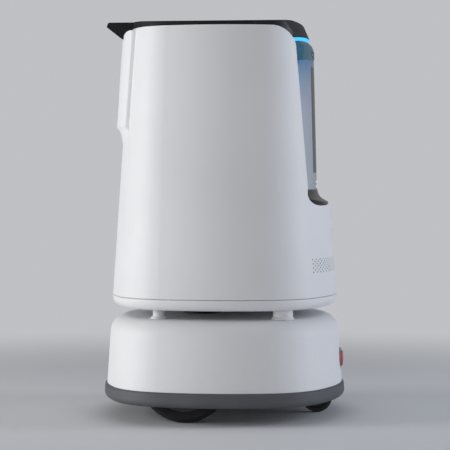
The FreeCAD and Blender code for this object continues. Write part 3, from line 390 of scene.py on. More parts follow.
@dataclass(frozen=True)
class Gloss(Finish):
    """Polished dark plastic or glass under a clear coat, with dust specks and wiped smears."""

    colour: Colour
    roughness: float = 0.12
    coat: float = 0.8
    shine: float = 0.5

    def surface(self, g: Graph) -> Sockets:
        """The shader's inputs."""
        at = g.coords()
        smear = g.noise(g.coords(stretch=(1, 1, 3), turn=(0.5, 0.3, 0.2)), 34.0, 4.0, 0.6).step(0.45, 0.8)
        speck = 1.0 - g.cells(at, 420.0).step(0.05, 0.12)
        fine = g.noise(at, 90.0, 3.0)
        colour = g.mix(smear * 0.12, self.colour, shade(self.colour, 1.8))
        colour = g.mix(speck * fine.step(0.55, 0.7) * 0.35, colour, (0.3, 0.3, 0.3))
        return dict(Base_Color=colour, Roughness=self.roughness + smear * 0.12 + speck * 0.08,
                    Normal=g.bump(fine, 0.00002, 0.3), Coat_Weight=self.coat, Coat_Roughness=0.06,
                    Specular_IOR_Level=self.shine)


@dataclass(frozen=True)
class Fascia(Finish):
    """Pearl front panel with the light bar's blue light painted down from its top edge as painted light."""

    top: float
    pearl: Colour = (0.50, 0.54, 0.62)
    painted_blue_light: Colour = (0.035, 0.22, 0.46)
    # how far below the top edge the painted blue light reaches
    fall: float = 0.16

    def surface(self, g: Graph) -> Sockets:
        """The shader's inputs."""
        at = g.coords()
        _, _, z = g.parts(at)
        # painted light: the light bar's blue spill, full at the top edge and fading over `fall` metres below
        # it
        near = 1.0 - ((self.top - z) / self.fall).clamp()
        blue = (near * near).clamp()
        cloud = g.noise(at, 9.0, 3.0)
        flake = g.cells(at, 1500.0)
        colour = g.mix(blue, g.mix(cloud.step(0.3, 0.7), shade(self.pearl, 0.95), self.pearl), self.painted_blue_light)
        return dict(Base_Color=colour, Roughness=0.24 + (cloud - 0.5) * 0.12, Coat_Weight=0.6,
                    Coat_Roughness=0.08, Normal=g.bump(flake, 0.00002, 0.3))


@dataclass(frozen=True)
class Lit(Finish):
    """A light-guide diffuser: even colour with brighter spots where its lamps sit behind it."""

    colour: Colour
    pitch: float
    strength: float

    def surface(self, g: Graph) -> Sockets:
        """The shader's inputs."""
        _, y, _ = g.parts(g.coords())
        spots = ((y / self.pitch * math.tau).wave() * 0.5 + 0.5) ** 2.0
        frost = g.noise(g.coords(), 700.0, 2.0)
        light = g.mix(spots * 0.55, self.colour, shade(self.colour, 1.35))
        colour = g.mix(frost, shade(self.colour, 0.6), self.colour)
        return dict(Base_Color=colour, Roughness=0.3 + frost * 0.15, Emission_Color=light,
                    Emission_Strength=self.strength, Normal=g.bump(frost, 0.00004, 0.4), Coat_Weight=0.3)


def cad_finishes() -> dict[str, Finish]:
    """Which finish each CAD node wears.

    Returns:
        Node name to finish.
    """
    fascia_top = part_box("front_fascia")[1].z
    table: dict[str, Finish] = {
        "bumper": Rubber("bumper rubber", (0.095, 0.098, 0.105), 0.62),
        "chassis_plate": PowderCoat("chassis coat", COAT),
        "wheel_arches": PowderCoat("arch coat", COAT),
        "front_fascia": Fascia("fascia pearl", fascia_top),
        "front_display": Gloss("display glass", (0.010, 0.012, 0.018), 0.08, 0.3, 0.2),
        # the sensor bar is a dark window; its teal is the light bar's blue glow painted on, painted light
        "sensor_bar": Gloss("sensor bar painted blue light", (0.02, 0.13, 0.20), 0.2, 0.3, 0.3),
        "camera_lenses": Gloss("lens glass", (0.008, 0.008, 0.012), 0.04, 1.0),
        "status_lights": Lit("status light", (0.55, 0.75, 0.62), 0.05, 0.6),
        "light_bar": Lit("light bar blue", (0.02, 0.38, 1.0), 0.0125, 1.3),
        "front_visor": Gloss("visor black", (0.012, 0.013, 0.016), 0.42, 0.0, 0.3),
        "top_cap": Gloss("cap black", (0.013, 0.013, 0.015), 0.62, 0.0, 0.16),
        "sill_window": Gloss("sill glass", (0.014, 0.012, 0.011), 0.12, 0.2, 0.2),
        "service_bay": Moulded("bay grey", (0.10, 0.10, 0.11), 0.55),
        "frame_uprights": Metal("upright alloy", ALLOY, 0.36),
        "deck_bolts": Metal("deck bolt steel", STEEL),
        "scanner_housing": Moulded("scanner black", (0.02, 0.018, 0.025), 0.5),
        "scanner_turret": Gloss("turret black", (0.025, 0.016, 0.036), 0.1, 1.0),
        "stop_button": Moulded("stop red", (0.44, 0.07, 0.085), 0.4),
        "stop_button_collar": Moulded("stop collar grey", (0.30, 0.31, 0.33), 0.45),
        "stop_contact_block": Moulded("contact block black", BLACK, 0.5),
        "power_button": Metal("power button steel", STEEL, 0.3, (1, 14, 1)),
        "power_button_bezel": Moulded("power bezel black", BLACK, 0.4),
        "charge_contact_carrier": Moulded("carrier black", BLACK, 0.5),
        "charge_contacts": Metal("contact brass", (0.74, 0.53, 0.24), 0.26, (1, 10, 1)),
        "battery_tray": Metal("tray alloy", ALLOY, 0.42, (1, 12, 1)),
        "battery_pack": Moulded("battery blue", (0.04, 0.075, 0.14), 0.5),
        "speaker_unit": Moulded("speaker black", BLACK, 0.6),
        "axle_nuts": Metal("nut steel", STEEL),
    }
    for node, label in (("base_shell", "base"), ("body_shell", "body"), ("skirt_pan", "skirt"),
                        ("rear_hatch", "hatch")):
        table[node] = Moulded(f"{label} white", WHITE)
    for node, label in (("upper_deck", "deck"), ("top_frame", "top frame")):
        table[node] = Metal(f"{label} alloy", ALLOY, 0.4)
    for node, label in (("motor_controllers", "controller"), ("main_computer", "computer")):
        table[node] = Metal(f"{label} alloy", CASE, 0.45, (1, 12, 1))
    for node, label in (("hatch_hinge_fixed", "fixed hinge"), ("hatch_hinge_moving", "moving hinge"),
                        ("hatch_catch", "catch")):
        table[node] = Metal(f"{label} steel", STEEL, 0.3)
    for side in ("left", "right"):
        low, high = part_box(f"{side}_tyre")
        middle = tuple((low + high) / 2)
        table[f"{side}_tyre"] = Tyre(f"{side} tyre rubber", middle, (high.z - low.z) / 2)
        table[f"{side}_wheel_hub"] = PowderCoat(f"{side} hub coat", (0.022, 0.022, 0.025), 0.45)
        table[f"{side}_wheel_axle"] = Metal(f"{side} axle steel", STEEL, 0.24, (8, 1, 8))
        table[f"{side}_wheel_bracket"] = PowderCoat(f"{side} bracket coat", COAT)
    for end in ("front", "rear"):
        table[f"{end}_posts"] = Moulded(f"{end} post white", (0.72, 0.72, 0.73), 0.4)
        table[f"{end}_caster_bridge"] = PowderCoat(f"{end} bridge coat", COAT)
        table[f"{end}_caster_plate"] = Metal(f"{end} plate zinc", STEEL)
        table[f"{end}_caster_fork"] = Metal(f"{end} fork zinc", STEEL)
        table[f"{end}_caster_axle"] = Metal(f"{end} caster bolt zinc", STEEL, 0.3, (8, 1, 8))
        table[f"{end}_caster_wheel"] = Rubber(f"{end} caster rubber", (0.035, 0.035, 0.038), 0.6)
    return table


def dress_cad() -> None:
    """Gives every CAD node its finish."""
    table = cad_finishes()
    missing = sorted(set(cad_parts) - set(table))
    if missing:
        raise RuntimeError(f"no finish for {missing}")
    for node, finish in table.items():
        material = finish.build()
        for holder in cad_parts[node].material_slots:
            holder.material = material
        log.info("dressed %s", node)


# ---- geometry building -------------------------------------------------------------------------


def placed(name: str, data: bpy.types.ID) -> bpy.types.Object:
    """Makes an object of a mesh, a light or a camera and links it to the scene."""
    made = bpy.data.objects.new(name, data)
    bpy.context.scene.collection.objects.link(made)
    return made


class Web(Network):
    """A Geometry Nodes tree with a named input for each of its sizes."""

    def __init__(self, name: str, **sizes: float) -> None:
        """Makes the tree and its inputs.

        Args:
            name: what the tree makes.
            sizes: each input's label, with _ for a space, and its value.
        """
        super().__init__(bpy.data.node_groups.new(name, "GeometryNodeTree"))
        self.values: dict[str, float] = {}
        face = self.tree.interface
        face.new_socket(name="Geometry", in_out="INPUT", socket_type="NodeSocketGeometry")
        face.new_socket(name="Geometry", in_out="OUTPUT", socket_type="NodeSocketGeometry")
        for label, size in sizes.items():
            kind = "NodeSocketInt" if isinstance(size, int) else "NodeSocketFloat"
            item = face.new_socket(name=label.replace("_", " "), in_out="INPUT", socket_type=kind)
            self.values[item.identifier] = size
        self.entry = self.add("NodeGroupInput")

    def vector(self, x: Val | float, y: Val | float, z: Val | float) -> Val:
        """Three numbers as a vector."""
        return self.add("ShaderNodeCombineXYZ", None, {"X": x, "Y": y, "Z": z})["Vector"]

    def facing(self, way: Val) -> Val:
        """The rotation that turns a shape's own Z to a direction."""
        return self.add("FunctionNodeAlignRotationToVector", {"axis": "Z"}, {"Vector": way})["Rotation"]

    def shape(self, thing: bpy.types.Object) -> Val:
        """Another object's mesh."""
        return self.add("GeometryNodeObjectInfo", None, {"Object": thing})["Geometry"]

    def stored(self, name: str) -> Val:
        """A vector kept on the points under a name."""
        return self.add("GeometryNodeInputNamedAttribute", {"data_type": "FLOAT_VECTOR"},
                        {"Name": name})["Attribute"]

    def make(self, name: str, geometry: Val, material: bpy.types.Material,
             start: bpy.types.Mesh | None = None) -> bpy.types.Object:
        """Ends the tree, runs it once and keeps the result as a plain mesh.

        Args:
            name: the piece's name.
            geometry: the last geometry in the tree.
            material: what the piece wears.
            start: the mesh that the tree reads, or None where it makes its own.

        Returns:
            The finished object.
        """
        real = self.add("GeometryNodeRealizeInstances", None, {"Geometry": geometry})
        worn = self.add("GeometryNodeSetMaterial", None, {"Geometry": real["Geometry"], "Material": material})
        self.add("NodeGroupOutput", None, {"Geometry": worn["Geometry"]})
        seed = placed(f"{name}_seed", start or bpy.data.meshes.new(f"{name}_seed"))
        modifier = seed.modifiers.new("build", "NODES")
        modifier.node_group = self.tree
        for key, size in self.values.items():
            modifier[key] = size
        ready = seed.evaluated_get(bpy.context.evaluated_depsgraph_get())
        mesh = bpy.data.meshes.new_from_object(ready)
        mesh.name = name
        if not mesh.polygons:
            raise RuntimeError(f"{name} came out empty")
        seed.modifiers.remove(modifier)
        bpy.data.objects.remove(seed)
        return placed(name, mesh)

    def repeat(self, name: str, pattern: bpy.types.Object, points: Val, material: bpy.types.Material,
               start: bpy.types.Mesh | None = None, **turned: Val) -> bpy.types.Object:
        """Sets a pattern on every point, runs the tree and takes the pattern away.

        Args:
            name: the piece's name.
            pattern: the object that is repeated.
            points: where the copies go.
            material: what the piece wears.
            start: the mesh that the tree reads, or None where it makes its own.
            turned: the Rotation and Scale of each copy.

        Returns:
            The finished object.
        """
        put = self.add("GeometryNodeInstanceOnPoints", None,
                       {"Points": points, "Instance": self.shape(pattern), **turned})
        made = self.make(name, put["Instances"], material, start)
        bpy.data.objects.remove(pattern)
        return made


def settle(piece: bpy.types.Object, body: str) -> None:
    """Makes a finished piece ride on its body.

    Args:
        piece: the finished mesh object.
        body: the CAD body that it moves with.
    """
    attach(piece, body)
    log.info("%s: %d faces on %s", piece.name, len(piece.data.polygons), body)


def solid(name: str, build: Callable[[bmesh.types.BMesh], None],
          material: bpy.types.Material | None = None, smooth: float = 30.0) -> bpy.types.Object:
    """Makes an object from mesh code.

    Args:
        name: the object's name.
        build: fills the mesh.
        material: what it wears.
        smooth: edges flatter than this many degrees are shaded smooth.

    Returns:
        The object, linked to the scene.
    """
    mesh = bmesh.new()
    build(mesh)
    bmesh.ops.recalc_face_normals(mesh, faces=mesh.faces)
    for face in mesh.faces:
        face.smooth = True
    for edge in mesh.edges:
        if len(edge.link_faces) == 2 and edge.calc_face_angle() > math.radians(smooth):
            edge.smooth = False
    data = bpy.data.meshes.new(name)
    mesh.to_mesh(data)
    mesh.free()
    if material:
        data.materials.append(material)
    return placed(name, data)


def revolve(mesh: bmesh.types.BMesh, profile: Outline, sides: int, place: Matrix | None = None,
            ring: bool = False) -> None:
    """Adds a closed turned shape about Z.

    Args:
        mesh: what it is added to.
        profile: (radius, height) from one end to the other; an end at radius 0 is a point.
        sides: how many flats it has round it.
        place: where it goes.
        ring: joins the profile's last point to its first, for a shape with a hole.
    """
    place = place or Matrix()
    rows = []
    for radius, height in profile:
        if radius == 0:
            rows.append([mesh.verts.new(place @ Vector((0, 0, height)))] * sides)
            continue
        angles = [math.tau * k / sides for k in range(sides)]
        rows.append([mesh.verts.new(place @ Vector((radius * math.cos(a), radius * math.sin(a), height)))
                     for a in angles])
    pairs = list(zip(rows, rows[1:])) + ([(rows[-1], rows[0])] if ring else [])
    for low, high in pairs:
        for k in range(sides):
            corners = [low[k], low[(k + 1) % sides], high[(k + 1) % sides], high[k]]
            mesh.faces.new(list(dict.fromkeys(corners)))


def tool(name: str, profile: Outline, sides: int = 12, ring: bool = False) -> bpy.types.Object:
    """A small turned shape that a tree repeats; it is taken away when the tree has run."""
    return solid(name, lambda mesh: revolve(mesh, profile, sides, ring=ring))


class Head(Enum):
    """Kinds of small fastener and fitting, each as a turned profile of radius 1."""

    SOCKET = ((0, -0.3), (1, -0.3), (1, 0.42), (0.86, 0.6), (0.52, 0.6), (0.46, 0.2), (0, 0.14))
    BUTTON = ((0, -0.3), (1, -0.3), (1, 0.05), (0.9, 0.3), (0.62, 0.46), (0.4, 0.46), (0.34, 0.16), (0, 0.12))
    FLUSH = ((0, -0.2), (1, -0.2), (1, 0.06), (0.94, 0.1), (0.46, 0.1), (0.4, -0.06), (0, -0.08))


Spot = tuple[Vector, Vector]
OUTSIDE = 0.4  # metres from the middle, where a line starts that comes from outside the robot
TREES: dict[str, BVHTree] = {}


def touch(node: str, start: Point, way: Point) -> Spot:
    """Where a straight line first meets a CAD node.

    Args:
        node: the node's name.
        start: where the line starts, in metres.
        way: the direction it runs in.

    Returns:
        The point and the outward direction there.
    """
    if node not in TREES:
        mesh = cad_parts[node].data
        TREES[node] = BVHTree.FromPolygons([v.co for v in mesh.vertices], [p.vertices for p in mesh.polygons])
    line = Vector(way).normalized()
    place, normal, _, _ = TREES[node].ray_cast(Vector(start), line)
    if place is None:
        raise RuntimeError(f"nothing of {node} in line with {start}")
    return place, normal if normal.dot(line) < 0 else -normal


def fasten(name: str, head: Head, radius: float, spots: Sequence[Spot], finish: Metal, body: str) -> None:
    """Sets one fastener at each spot, square to the surface, each turned by its own amount.

    Args:
        name: the piece's name.
        head: the kind of fastener.
        radius: its radius in metres.
        spots: places and outward directions.
        finish: what they wear.
        body: the CAD body that they move with.
    """
    start = bpy.data.meshes.new(f"{name}_spots")
    start.from_pydata([spot[0] for spot in spots], [], [])
    ways = start.attributes.new("way", "FLOAT_VECTOR", "POINT")
    for item, (_, way) in zip(ways.data, spots):
        item.vector = way
    web = Web(name, Radius=radius, Seed=7)
    points = web.add("GeometryNodeMeshToPoints", None, {"Mesh": web.entry["Geometry"]})["Points"]
    turn = web.add("FunctionNodeRandomValue", {"data_type": "FLOAT"},
                   {"Min": 0.0, "Max": math.tau, "Seed": web.entry["Seed"]})
    spin = web.add("FunctionNodeAxisAngleToRotation", None,
                   {"Axis": (0, 0, 1), "Angle": Val(web, turn.node.outputs[1])})["Rotation"]
    stand = web.add("FunctionNodeRotateRotation", {"rotation_space": "LOCAL"},
                    {"Rotation": web.facing(web.stored("way")), "Rotate By": spin})["Rotation"]
    made = web.repeat(name, tool(f"{name}_pattern", head.value), points, finish.build(), start,
                      Rotation=stand, Scale=web.entry["Radius"])
    settle(made, body)


# ---- detail pieces -----------------------------------------------------------------------------


@dataclass
class SpeakerHoles:
    """Rows of small collared holes across the lower front of the body, in front of the speaker."""

    half_width: float = 0.170
    low: float = 0.3285
    rows: int = 7
    pitch: float = 0.0170
    row_pitch: float = 0.00465
    hole: float = 0.0019
    ahead: float = 0.6

    def across(self, name: str, profile: Outline, ring: bool,
               material: bpy.types.Material) -> bpy.types.Object:
        """Repeats one turned shape over the patch, laid on the body's skin, each other row half a step on."""
        columns = int(2 * self.half_width / self.pitch) + 1
        web = Web(name, Columns=columns, Rows=self.rows, Pitch=self.pitch, Row_Pitch=self.row_pitch,
                  Hole=self.hole, Low=self.low)
        pitch, row_pitch = web.entry["Pitch"], web.entry["Row Pitch"]
        grid = web.add("GeometryNodeMeshGrid", None,
                       {"Size X": pitch * (columns - 1.0), "Size Y": row_pitch * (self.rows - 1.0),
                        "Vertices X": web.entry["Columns"], "Vertices Y": web.entry["Rows"]})["Mesh"]
        u, v, _ = web.parts(web.add("GeometryNodeInputPosition")["Position"])
        row = web.add("ShaderNodeMath", {"operation": "ROUND"}, {0: v / row_pitch + self.rows})["Value"]
        odd = web.add("ShaderNodeMath", {"operation": "MODULO"}, {0: row, 1: 2.0})["Value"]
        lift = v + web.entry["Low"] + row_pitch * ((self.rows - 1.0) / 2)
        away = web.vector(self.ahead, u + odd * pitch * 0.5, lift)
        shifted = web.add("GeometryNodeSetPosition", None, {"Geometry": grid, "Position": away})["Geometry"]
        skin = web.shape(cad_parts["body_shell"])
        ray = web.add("GeometryNodeRaycast", None,
                      {"Target Geometry": skin, "Ray Direction": (-1, 0, 0), "Ray Length": 1.0})
        kept = web.add("GeometryNodeStoreNamedAttribute", {"data_type": "FLOAT_VECTOR", "domain": "POINT"},
                       {"Geometry": shifted, "Name": "way", "Value": ray["Hit Normal"]})["Geometry"]
        laid = web.add("GeometryNodeSetPosition", None, {"Geometry": kept, "Position": ray["Hit Position"]})
        pattern = tool(f"{name}_pattern", profile, 10, ring)
        return web.repeat(name, pattern, laid["Geometry"], material,
                          Rotation=web.facing(web.stored("way")), Scale=web.entry["Hole"])

    def build(self) -> None:
        """Dark discs for the holes, painted shade of each hole over the black speaker behind it, and their
        collars.
        """
        # painted shade: each hole is a dark disc on the skin, standing for the shaded hole and the black
        # speaker behind it
        dark = Moulded("hole painted shade black", (0.015, 0.015, 0.017), 0.7).build()
        dish = ((0, -0.1), (1.0, -0.1), (1.0, 0.06), (0.6, 0.03), (0, 0.02))
        settle(self.across("speaker_holes", dish, False, dark), "robot_body")
        rim = Moulded("hole collar white", WHITE).build()
        collar = ((0.96, -0.1), (0.96, 0.1), (1.1, 0.17), (1.28, 0.1), (1.36, -0.1))
        settle(self.across("speaker_hole_collars", collar, True, rim), "robot_body")


@dataclass
class Fasteners:
    """The screws and bolts that hold the base, wheels, casters, hinge and contacts."""

    chassis_screw: float = 0.0045
    chassis_rim: Outline = ((0.232, 0.085), (0.20, 0.17), (0.13, 0.225), (0.045, 0.25), (-0.20, 0.17),
                            (-0.232, 0.085))
    hub_bolt: float = 0.0055
    hub_bolts: int = 5
    hub_circle: float = 0.030
    beside_hub: float = 0.3
    plate_bolt: float = 0.0046
    plate_inset: float = 0.009
    foot_inset: float = 0.010
    foot_across: float = 0.139
    above_feet: float = 0.2
    hinge_screw: float = 0.0022
    hinge_across: float = 0.1665
    behind_hinge: float = 0.32
    hinge_insets: tuple[float, float] = (0.010, 0.026)
    contact_screw: float = 0.0021
    contact_across: float = 0.0355

    def chassis(self) -> None:
        """Screws up through the chassis plate."""
        spots = [touch("chassis_plate", (x, side * y, 0.0), (0, 0, 1))
                 for x, y in self.chassis_rim for side in (1, -1)]
        fasten("chassis_screws", Head.BUTTON, self.chassis_screw, spots,
               Metal("chassis screw steel", STEEL, 0.3), "robot_body")

    def hub(self, side: str, sign: int) -> None:
        """Bolts in one drive wheel's hub; `sign` is 1 on the left and -1 on the right."""
        low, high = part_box(f"{side}_wheel_hub")
        middle = (low + high) / 2
        spots = []
        for k in range(self.hub_bolts):
            angle = math.tau * k / self.hub_bolts
            start = (middle.x + self.hub_circle * math.sin(angle), sign * self.beside_hub,
                     middle.z + self.hub_circle * math.cos(angle))
            spots.append(touch(f"{side}_wheel_hub", start, (0, -sign, 0)))
        fasten(f"{side}_wheel_bolts", Head.SOCKET, self.hub_bolt, spots,
               Metal(f"{side} wheel bolt steel", STEEL, 0.3), f"{side}_wheel")

    def feet(self, side: str, sign: int) -> None:
        """Bolts through the feet of one wheel's bracket."""
        low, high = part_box(f"{side}_wheel_bracket")
        spots = [touch(f"{side}_wheel_bracket", (x, sign * self.foot_across, self.above_feet), (0, 0, -1))
                 for x in (low.x + self.foot_inset, high.x - self.foot_inset)]
        fasten(f"{side}_foot_bolts", Head.SOCKET, self.plate_bolt, spots,
               Metal(f"{side} foot bolt steel", STEEL, 0.32), "robot_body")

    def caster(self, end: str) -> None:
        """Bolts through one caster's plate."""
        low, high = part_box(f"{end}_caster_plate")
        inset = self.plate_inset
        spots = [touch(f"{end}_caster_plate", (x, y, 0.0), (0, 0, 1))
                 for x in (low.x + inset, high.x - inset) for y in (low.y + inset, high.y - inset)]
        fasten(f"{end}_caster_bolts", Head.SOCKET, self.plate_bolt, spots,
               Metal(f"{end} plate bolt zinc", STEEL, 0.32), "robot_body")

    def hinges(self) -> None:
        """Countersunk screws in the fixed hinge leaves."""
        low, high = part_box("hatch_hinge_fixed")
        near, far = self.hinge_insets
        spots = [touch("hatch_hinge_fixed", (-self.behind_hinge, self.hinge_across, level), (1, 0, 0))
                 for level in (low.z + near, low.z + far, high.z - far, high.z - near)]
        fasten("hinge_screws", Head.FLUSH, self.hinge_screw, spots,
               Metal("hinge screw steel", STEEL, 0.28), "robot_body")

    def contacts(self) -> None:
        """Screws in the charging contact carrier."""
        low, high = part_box("charge_contact_carrier")
        middle = (low.z + high.z) / 2
        spots = [touch("charge_contact_carrier", (-OUTSIDE, y, middle), (1, 0, 0))
                 for y in (-self.contact_across, self.contact_across)]
        fasten("contact_screws", Head.FLUSH, self.contact_screw, spots,
               Metal("contact screw steel", STEEL, 0.3), "robot_body")

    def build(self) -> None:
        """All of them."""
        sides = (("left", 1), ("right", -1))
        self.chassis()
        for side, sign in sides:
            self.hub(side, sign)
        for end in ("front", "rear"):
            self.caster(end)
        for side, sign in sides:
            self.feet(side, sign)
        self.hinges()
        self.contacts()


@dataclass
class Lenses:
    """A bevelled trim ring and an inner glass for each camera."""

    bore: float = 0.0066
    spacing: float = 0.034
    beside: float = 0.0098

    def build(self) -> None:
        """Rings on the sensor bar and glass inside them."""
        low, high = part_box("camera_lenses")
        level = (low.z + high.z) / 2
        rings, glasses = [], []
        for k in (-1, 0, 1):
            y = k * self.spacing
            left, right = (touch("sensor_bar", (OUTSIDE, y + off, level), (-1, 0, 0))
                           for off in (self.beside, -self.beside))
            way = (left[1] + right[1]).normalized()
            rings.append(((left[0] + right[0]) / 2, way))
            place, _ = touch("camera_lenses", (OUTSIDE, y, level), (-1, 0, 0))
            glasses.append((place, way))
        trim = Metal("lens ring grey", (0.20, 0.21, 0.23), 0.3).build()
        glass = Gloss("inner lens glass", (0.02, 0.03, 0.07), 0.05, 1.0).build()
        ring_profile = ((1.0, -0.10), (1.0, 0.08), (1.08, 0.15), (1.26, 0.10), (1.30, -0.02), (1.30, -0.10))
        dome_profile = ((0, -0.1), (0.62, -0.1), (0.62, 0.06), (0.52, 0.16), (0.3, 0.24), (0, 0.27))
        for name, profile, ring, spots, wear, slot in (
                ("lens_rings", ring_profile, True, rings, trim, "sensor_bar_teal"),
                ("inner_lenses", dome_profile, False, glasses, glass, "lens_glass")):
            def fill(mesh: bmesh.types.BMesh) -> None:
                """Sets one turned shape at each camera."""
                for place, way in spots:
                    where = Matrix.Translation(place) @ way.to_track_quat("Z", "Y").to_matrix().to_4x4()
                    revolve(mesh, [(r * self.bore, h * self.bore) for r, h in profile], 40, where, ring)
            settle(solid(name, fill, wear), "robot_body")


def rounded(half_width: float, half_height: float, radius: float, steps: int = 6) -> Outline:
    """A rounded rectangle's outline about its centre, counterclockwise."""
    points = []
    for quarter in range(4):
        sign_a = 1 if quarter in (0, 3) else -1
        sign_b = 1 if quarter in (0, 1) else -1
        for k in range(steps + 1):
            angle = math.pi / 2 * (quarter + k / steps)
            points.append((sign_a * (half_width - radius) + radius * math.cos(angle),
                           sign_b * (half_height - radius) + radius * math.sin(angle)))
    return points


def plate(mesh: bmesh.types.BMesh, outline: Outline, depth: float, chamfer: float, place: Matrix) -> None:
    """Adds a flat plate that stands `depth` above its own XY plane, with a chamfer round its top."""
    rings = []
    for inset, height in ((0.0, 0.0), (0.0, depth - chamfer), (chamfer, depth)):
        ring = []
        for a, b in outline:
            length = math.hypot(a, b)
            scale = (length - inset) / length
            ring.append(mesh.verts.new(place @ Vector((a * scale, b * scale, height))))
        rings.append(ring)
    for low, high in zip(rings, rings[1:]):
        for k in range(len(outline)):
            after = (k + 1) % len(outline)
            mesh.faces.new((low[k], low[after], high[after], high[k]))
    mesh.faces.new(rings[-1])
    mesh.faces.new(rings[0][::-1])


@dataclass
class BayPanel:
    """The connector panel at the inner end of the service bay: two round sockets, a vent and a switch."""

    face: float = 0.0
    level: float = 0.0
    wall: float = 0.0025
    half_width: float = 0.088
    half_height: float = 0.052
    depth: float = 0.003
    inset: float = 0.006
    socket: float = 0.0125
    socket_across: tuple[float, float] = (-0.060, -0.026)
    socket_level: float = 0.018
    threads: int = 5
    thread: float = 0.0016
    core_height: float = 0.0062
    pins: int = 6
    pin_circle: float = 0.0048
    switch_place: tuple[float, float] = (-0.043, -0.024)
    vent_across: float = 0.042
    slat: float = 0.0012
    slats: int = 9
    slat_pitch: float = 0.0072

    def place(self, y: float, z: float, out: float = 0.0) -> Matrix:
        """Where something on the panel goes: its Z points out of the bay, its X along Y."""
        turn = Matrix(((0, 0, -1, 0), (1, 0, 0, 0), (0, -1, 0, 0), (0, 0, 0, 1)))
        return Matrix.Translation((self.face - out, y, self.level + z)) @ turn

    def spot(self, y: float, z: float, out: float) -> Spot:
        """A place on the panel for something that faces out of the bay."""
        return self.place(y, z, out).translation, Vector((-1, 0, 0))

    def sockets(self, mesh: bmesh.types.BMesh) -> None:
        """Two threaded round shells with a keyed flange."""
        r = self.socket
        shell = [(r * 1.28, 0), (r * 1.28, 0.002), (r, 0.002)]
        for k in range(self.threads):
            shell += [(r, 0.003 + self.thread * k), (r * 0.94, 0.0038 + self.thread * k)]
        shell += [(r * 0.94, 0.0125), (r * 0.78, 0.0125), (r * 0.74, 0.002), (r * 0.74, 0)]
        for y in self.socket_across:
            revolve(mesh, shell, 48, self.place(y, self.socket_level, self.depth), True)

    def cores(self, mesh: bmesh.types.BMesh) -> None:
        """The sockets' insulators."""
        r = self.socket * 0.74
        core = [(0, 0), (r, 0), (r, 0.0055), (r * 0.9, self.core_height), (0, self.core_height)]
        for y in self.socket_across:
            revolve(mesh, core, 48, self.place(y, self.socket_level, self.depth))

    def switch(self, mesh: bmesh.types.BMesh) -> None:
        """A rocker in its frame."""
        place = self.place(*self.switch_place, self.depth)
        plate(mesh, rounded(0.011, 0.0145, 0.003), 0.002, 0.0006, place)
        rock = Matrix.Rotation(math.radians(9), 4, "X")
        plate(mesh, rounded(0.0075, 0.0115, 0.0015), 0.0045, 0.0008, place @ rock)

    def vent(self, material: bpy.types.Material) -> bpy.types.Object:
        """Sloping slats, repeated by a tree."""
        def blade(mesh: bmesh.types.BMesh) -> None:
            """One slat, long in X, leaning over."""
            turn = Matrix.Rotation(math.radians(38), 4, "X")
            plate(mesh, rounded(0.034, 0.0032, self.slat, 3), self.slat, 0.0003, turn)
        web = Web("vent", Slats=self.slats, Pitch=self.slat_pitch)
        row = web.add("GeometryNodeMeshLine", None,
                      {"Count": web.entry["Slats"],
                       "Offset": web.vector(0.0, web.entry["Pitch"], 0.0)})["Mesh"]
        made = web.repeat("bay_vent_slats", solid("slat_pattern", blade), row, material)
        low = -self.slat_pitch * (self.slats - 1) / 2
        made.data.transform(self.place(self.vent_across, 0.0, self.depth + self.slat)
                            @ Matrix.Translation((0, low, 0)))
        return made

    def build(self) -> None:
        """The panel and what is on it."""
        low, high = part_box("service_bay")
        self.face = high.x - self.wall
        self.level = (low.z + high.z) / 2
        body, slot = "robot_body", "bay_grey"
        outline = rounded(self.half_width, self.half_height, self.inset)
        for name, shape, finish in (
                ("bay_panel", lambda mesh: plate(mesh, outline, self.depth, 0.0006, self.place(0, 0)),
                 PowderCoat("panel coat", (0.16, 0.165, 0.175))),
                ("bay_sockets", self.sockets, Metal("socket nickel", (0.62, 0.61, 0.58), 0.28)),
                ("bay_socket_cores", self.cores, Moulded("core black", BLACK, 0.5)),
                ("bay_switch", self.switch, Moulded("switch black", (0.025, 0.025, 0.028), 0.35))):
            settle(solid(name, shape, finish.build()), body)
        settle(self.vent(PowderCoat("slat coat", (0.05, 0.05, 0.055)).build()), body)
        y, z = self.half_width - self.inset, self.half_height - self.inset
        corners = [self.spot(a * y, b * z, self.depth) for a in (-1, 1) for b in (-1, 1)]
        fasten("bay_panel_screws", Head.BUTTON, 0.003, corners, Metal("panel screw steel", STEEL, 0.3),
               body)
        turns = [math.tau * k / self.pins for k in range(self.pins)]
        pins = [self.spot(y + self.pin_circle * math.sin(turn),
                          self.socket_level + self.pin_circle * math.cos(turn), self.depth + self.core_height)
                for y in self.socket_across for turn in turns]
        fasten("bay_socket_pins", Head.BUTTON, 0.0011, pins, Metal("pin brass", (0.74, 0.55, 0.26), 0.25),
               body)


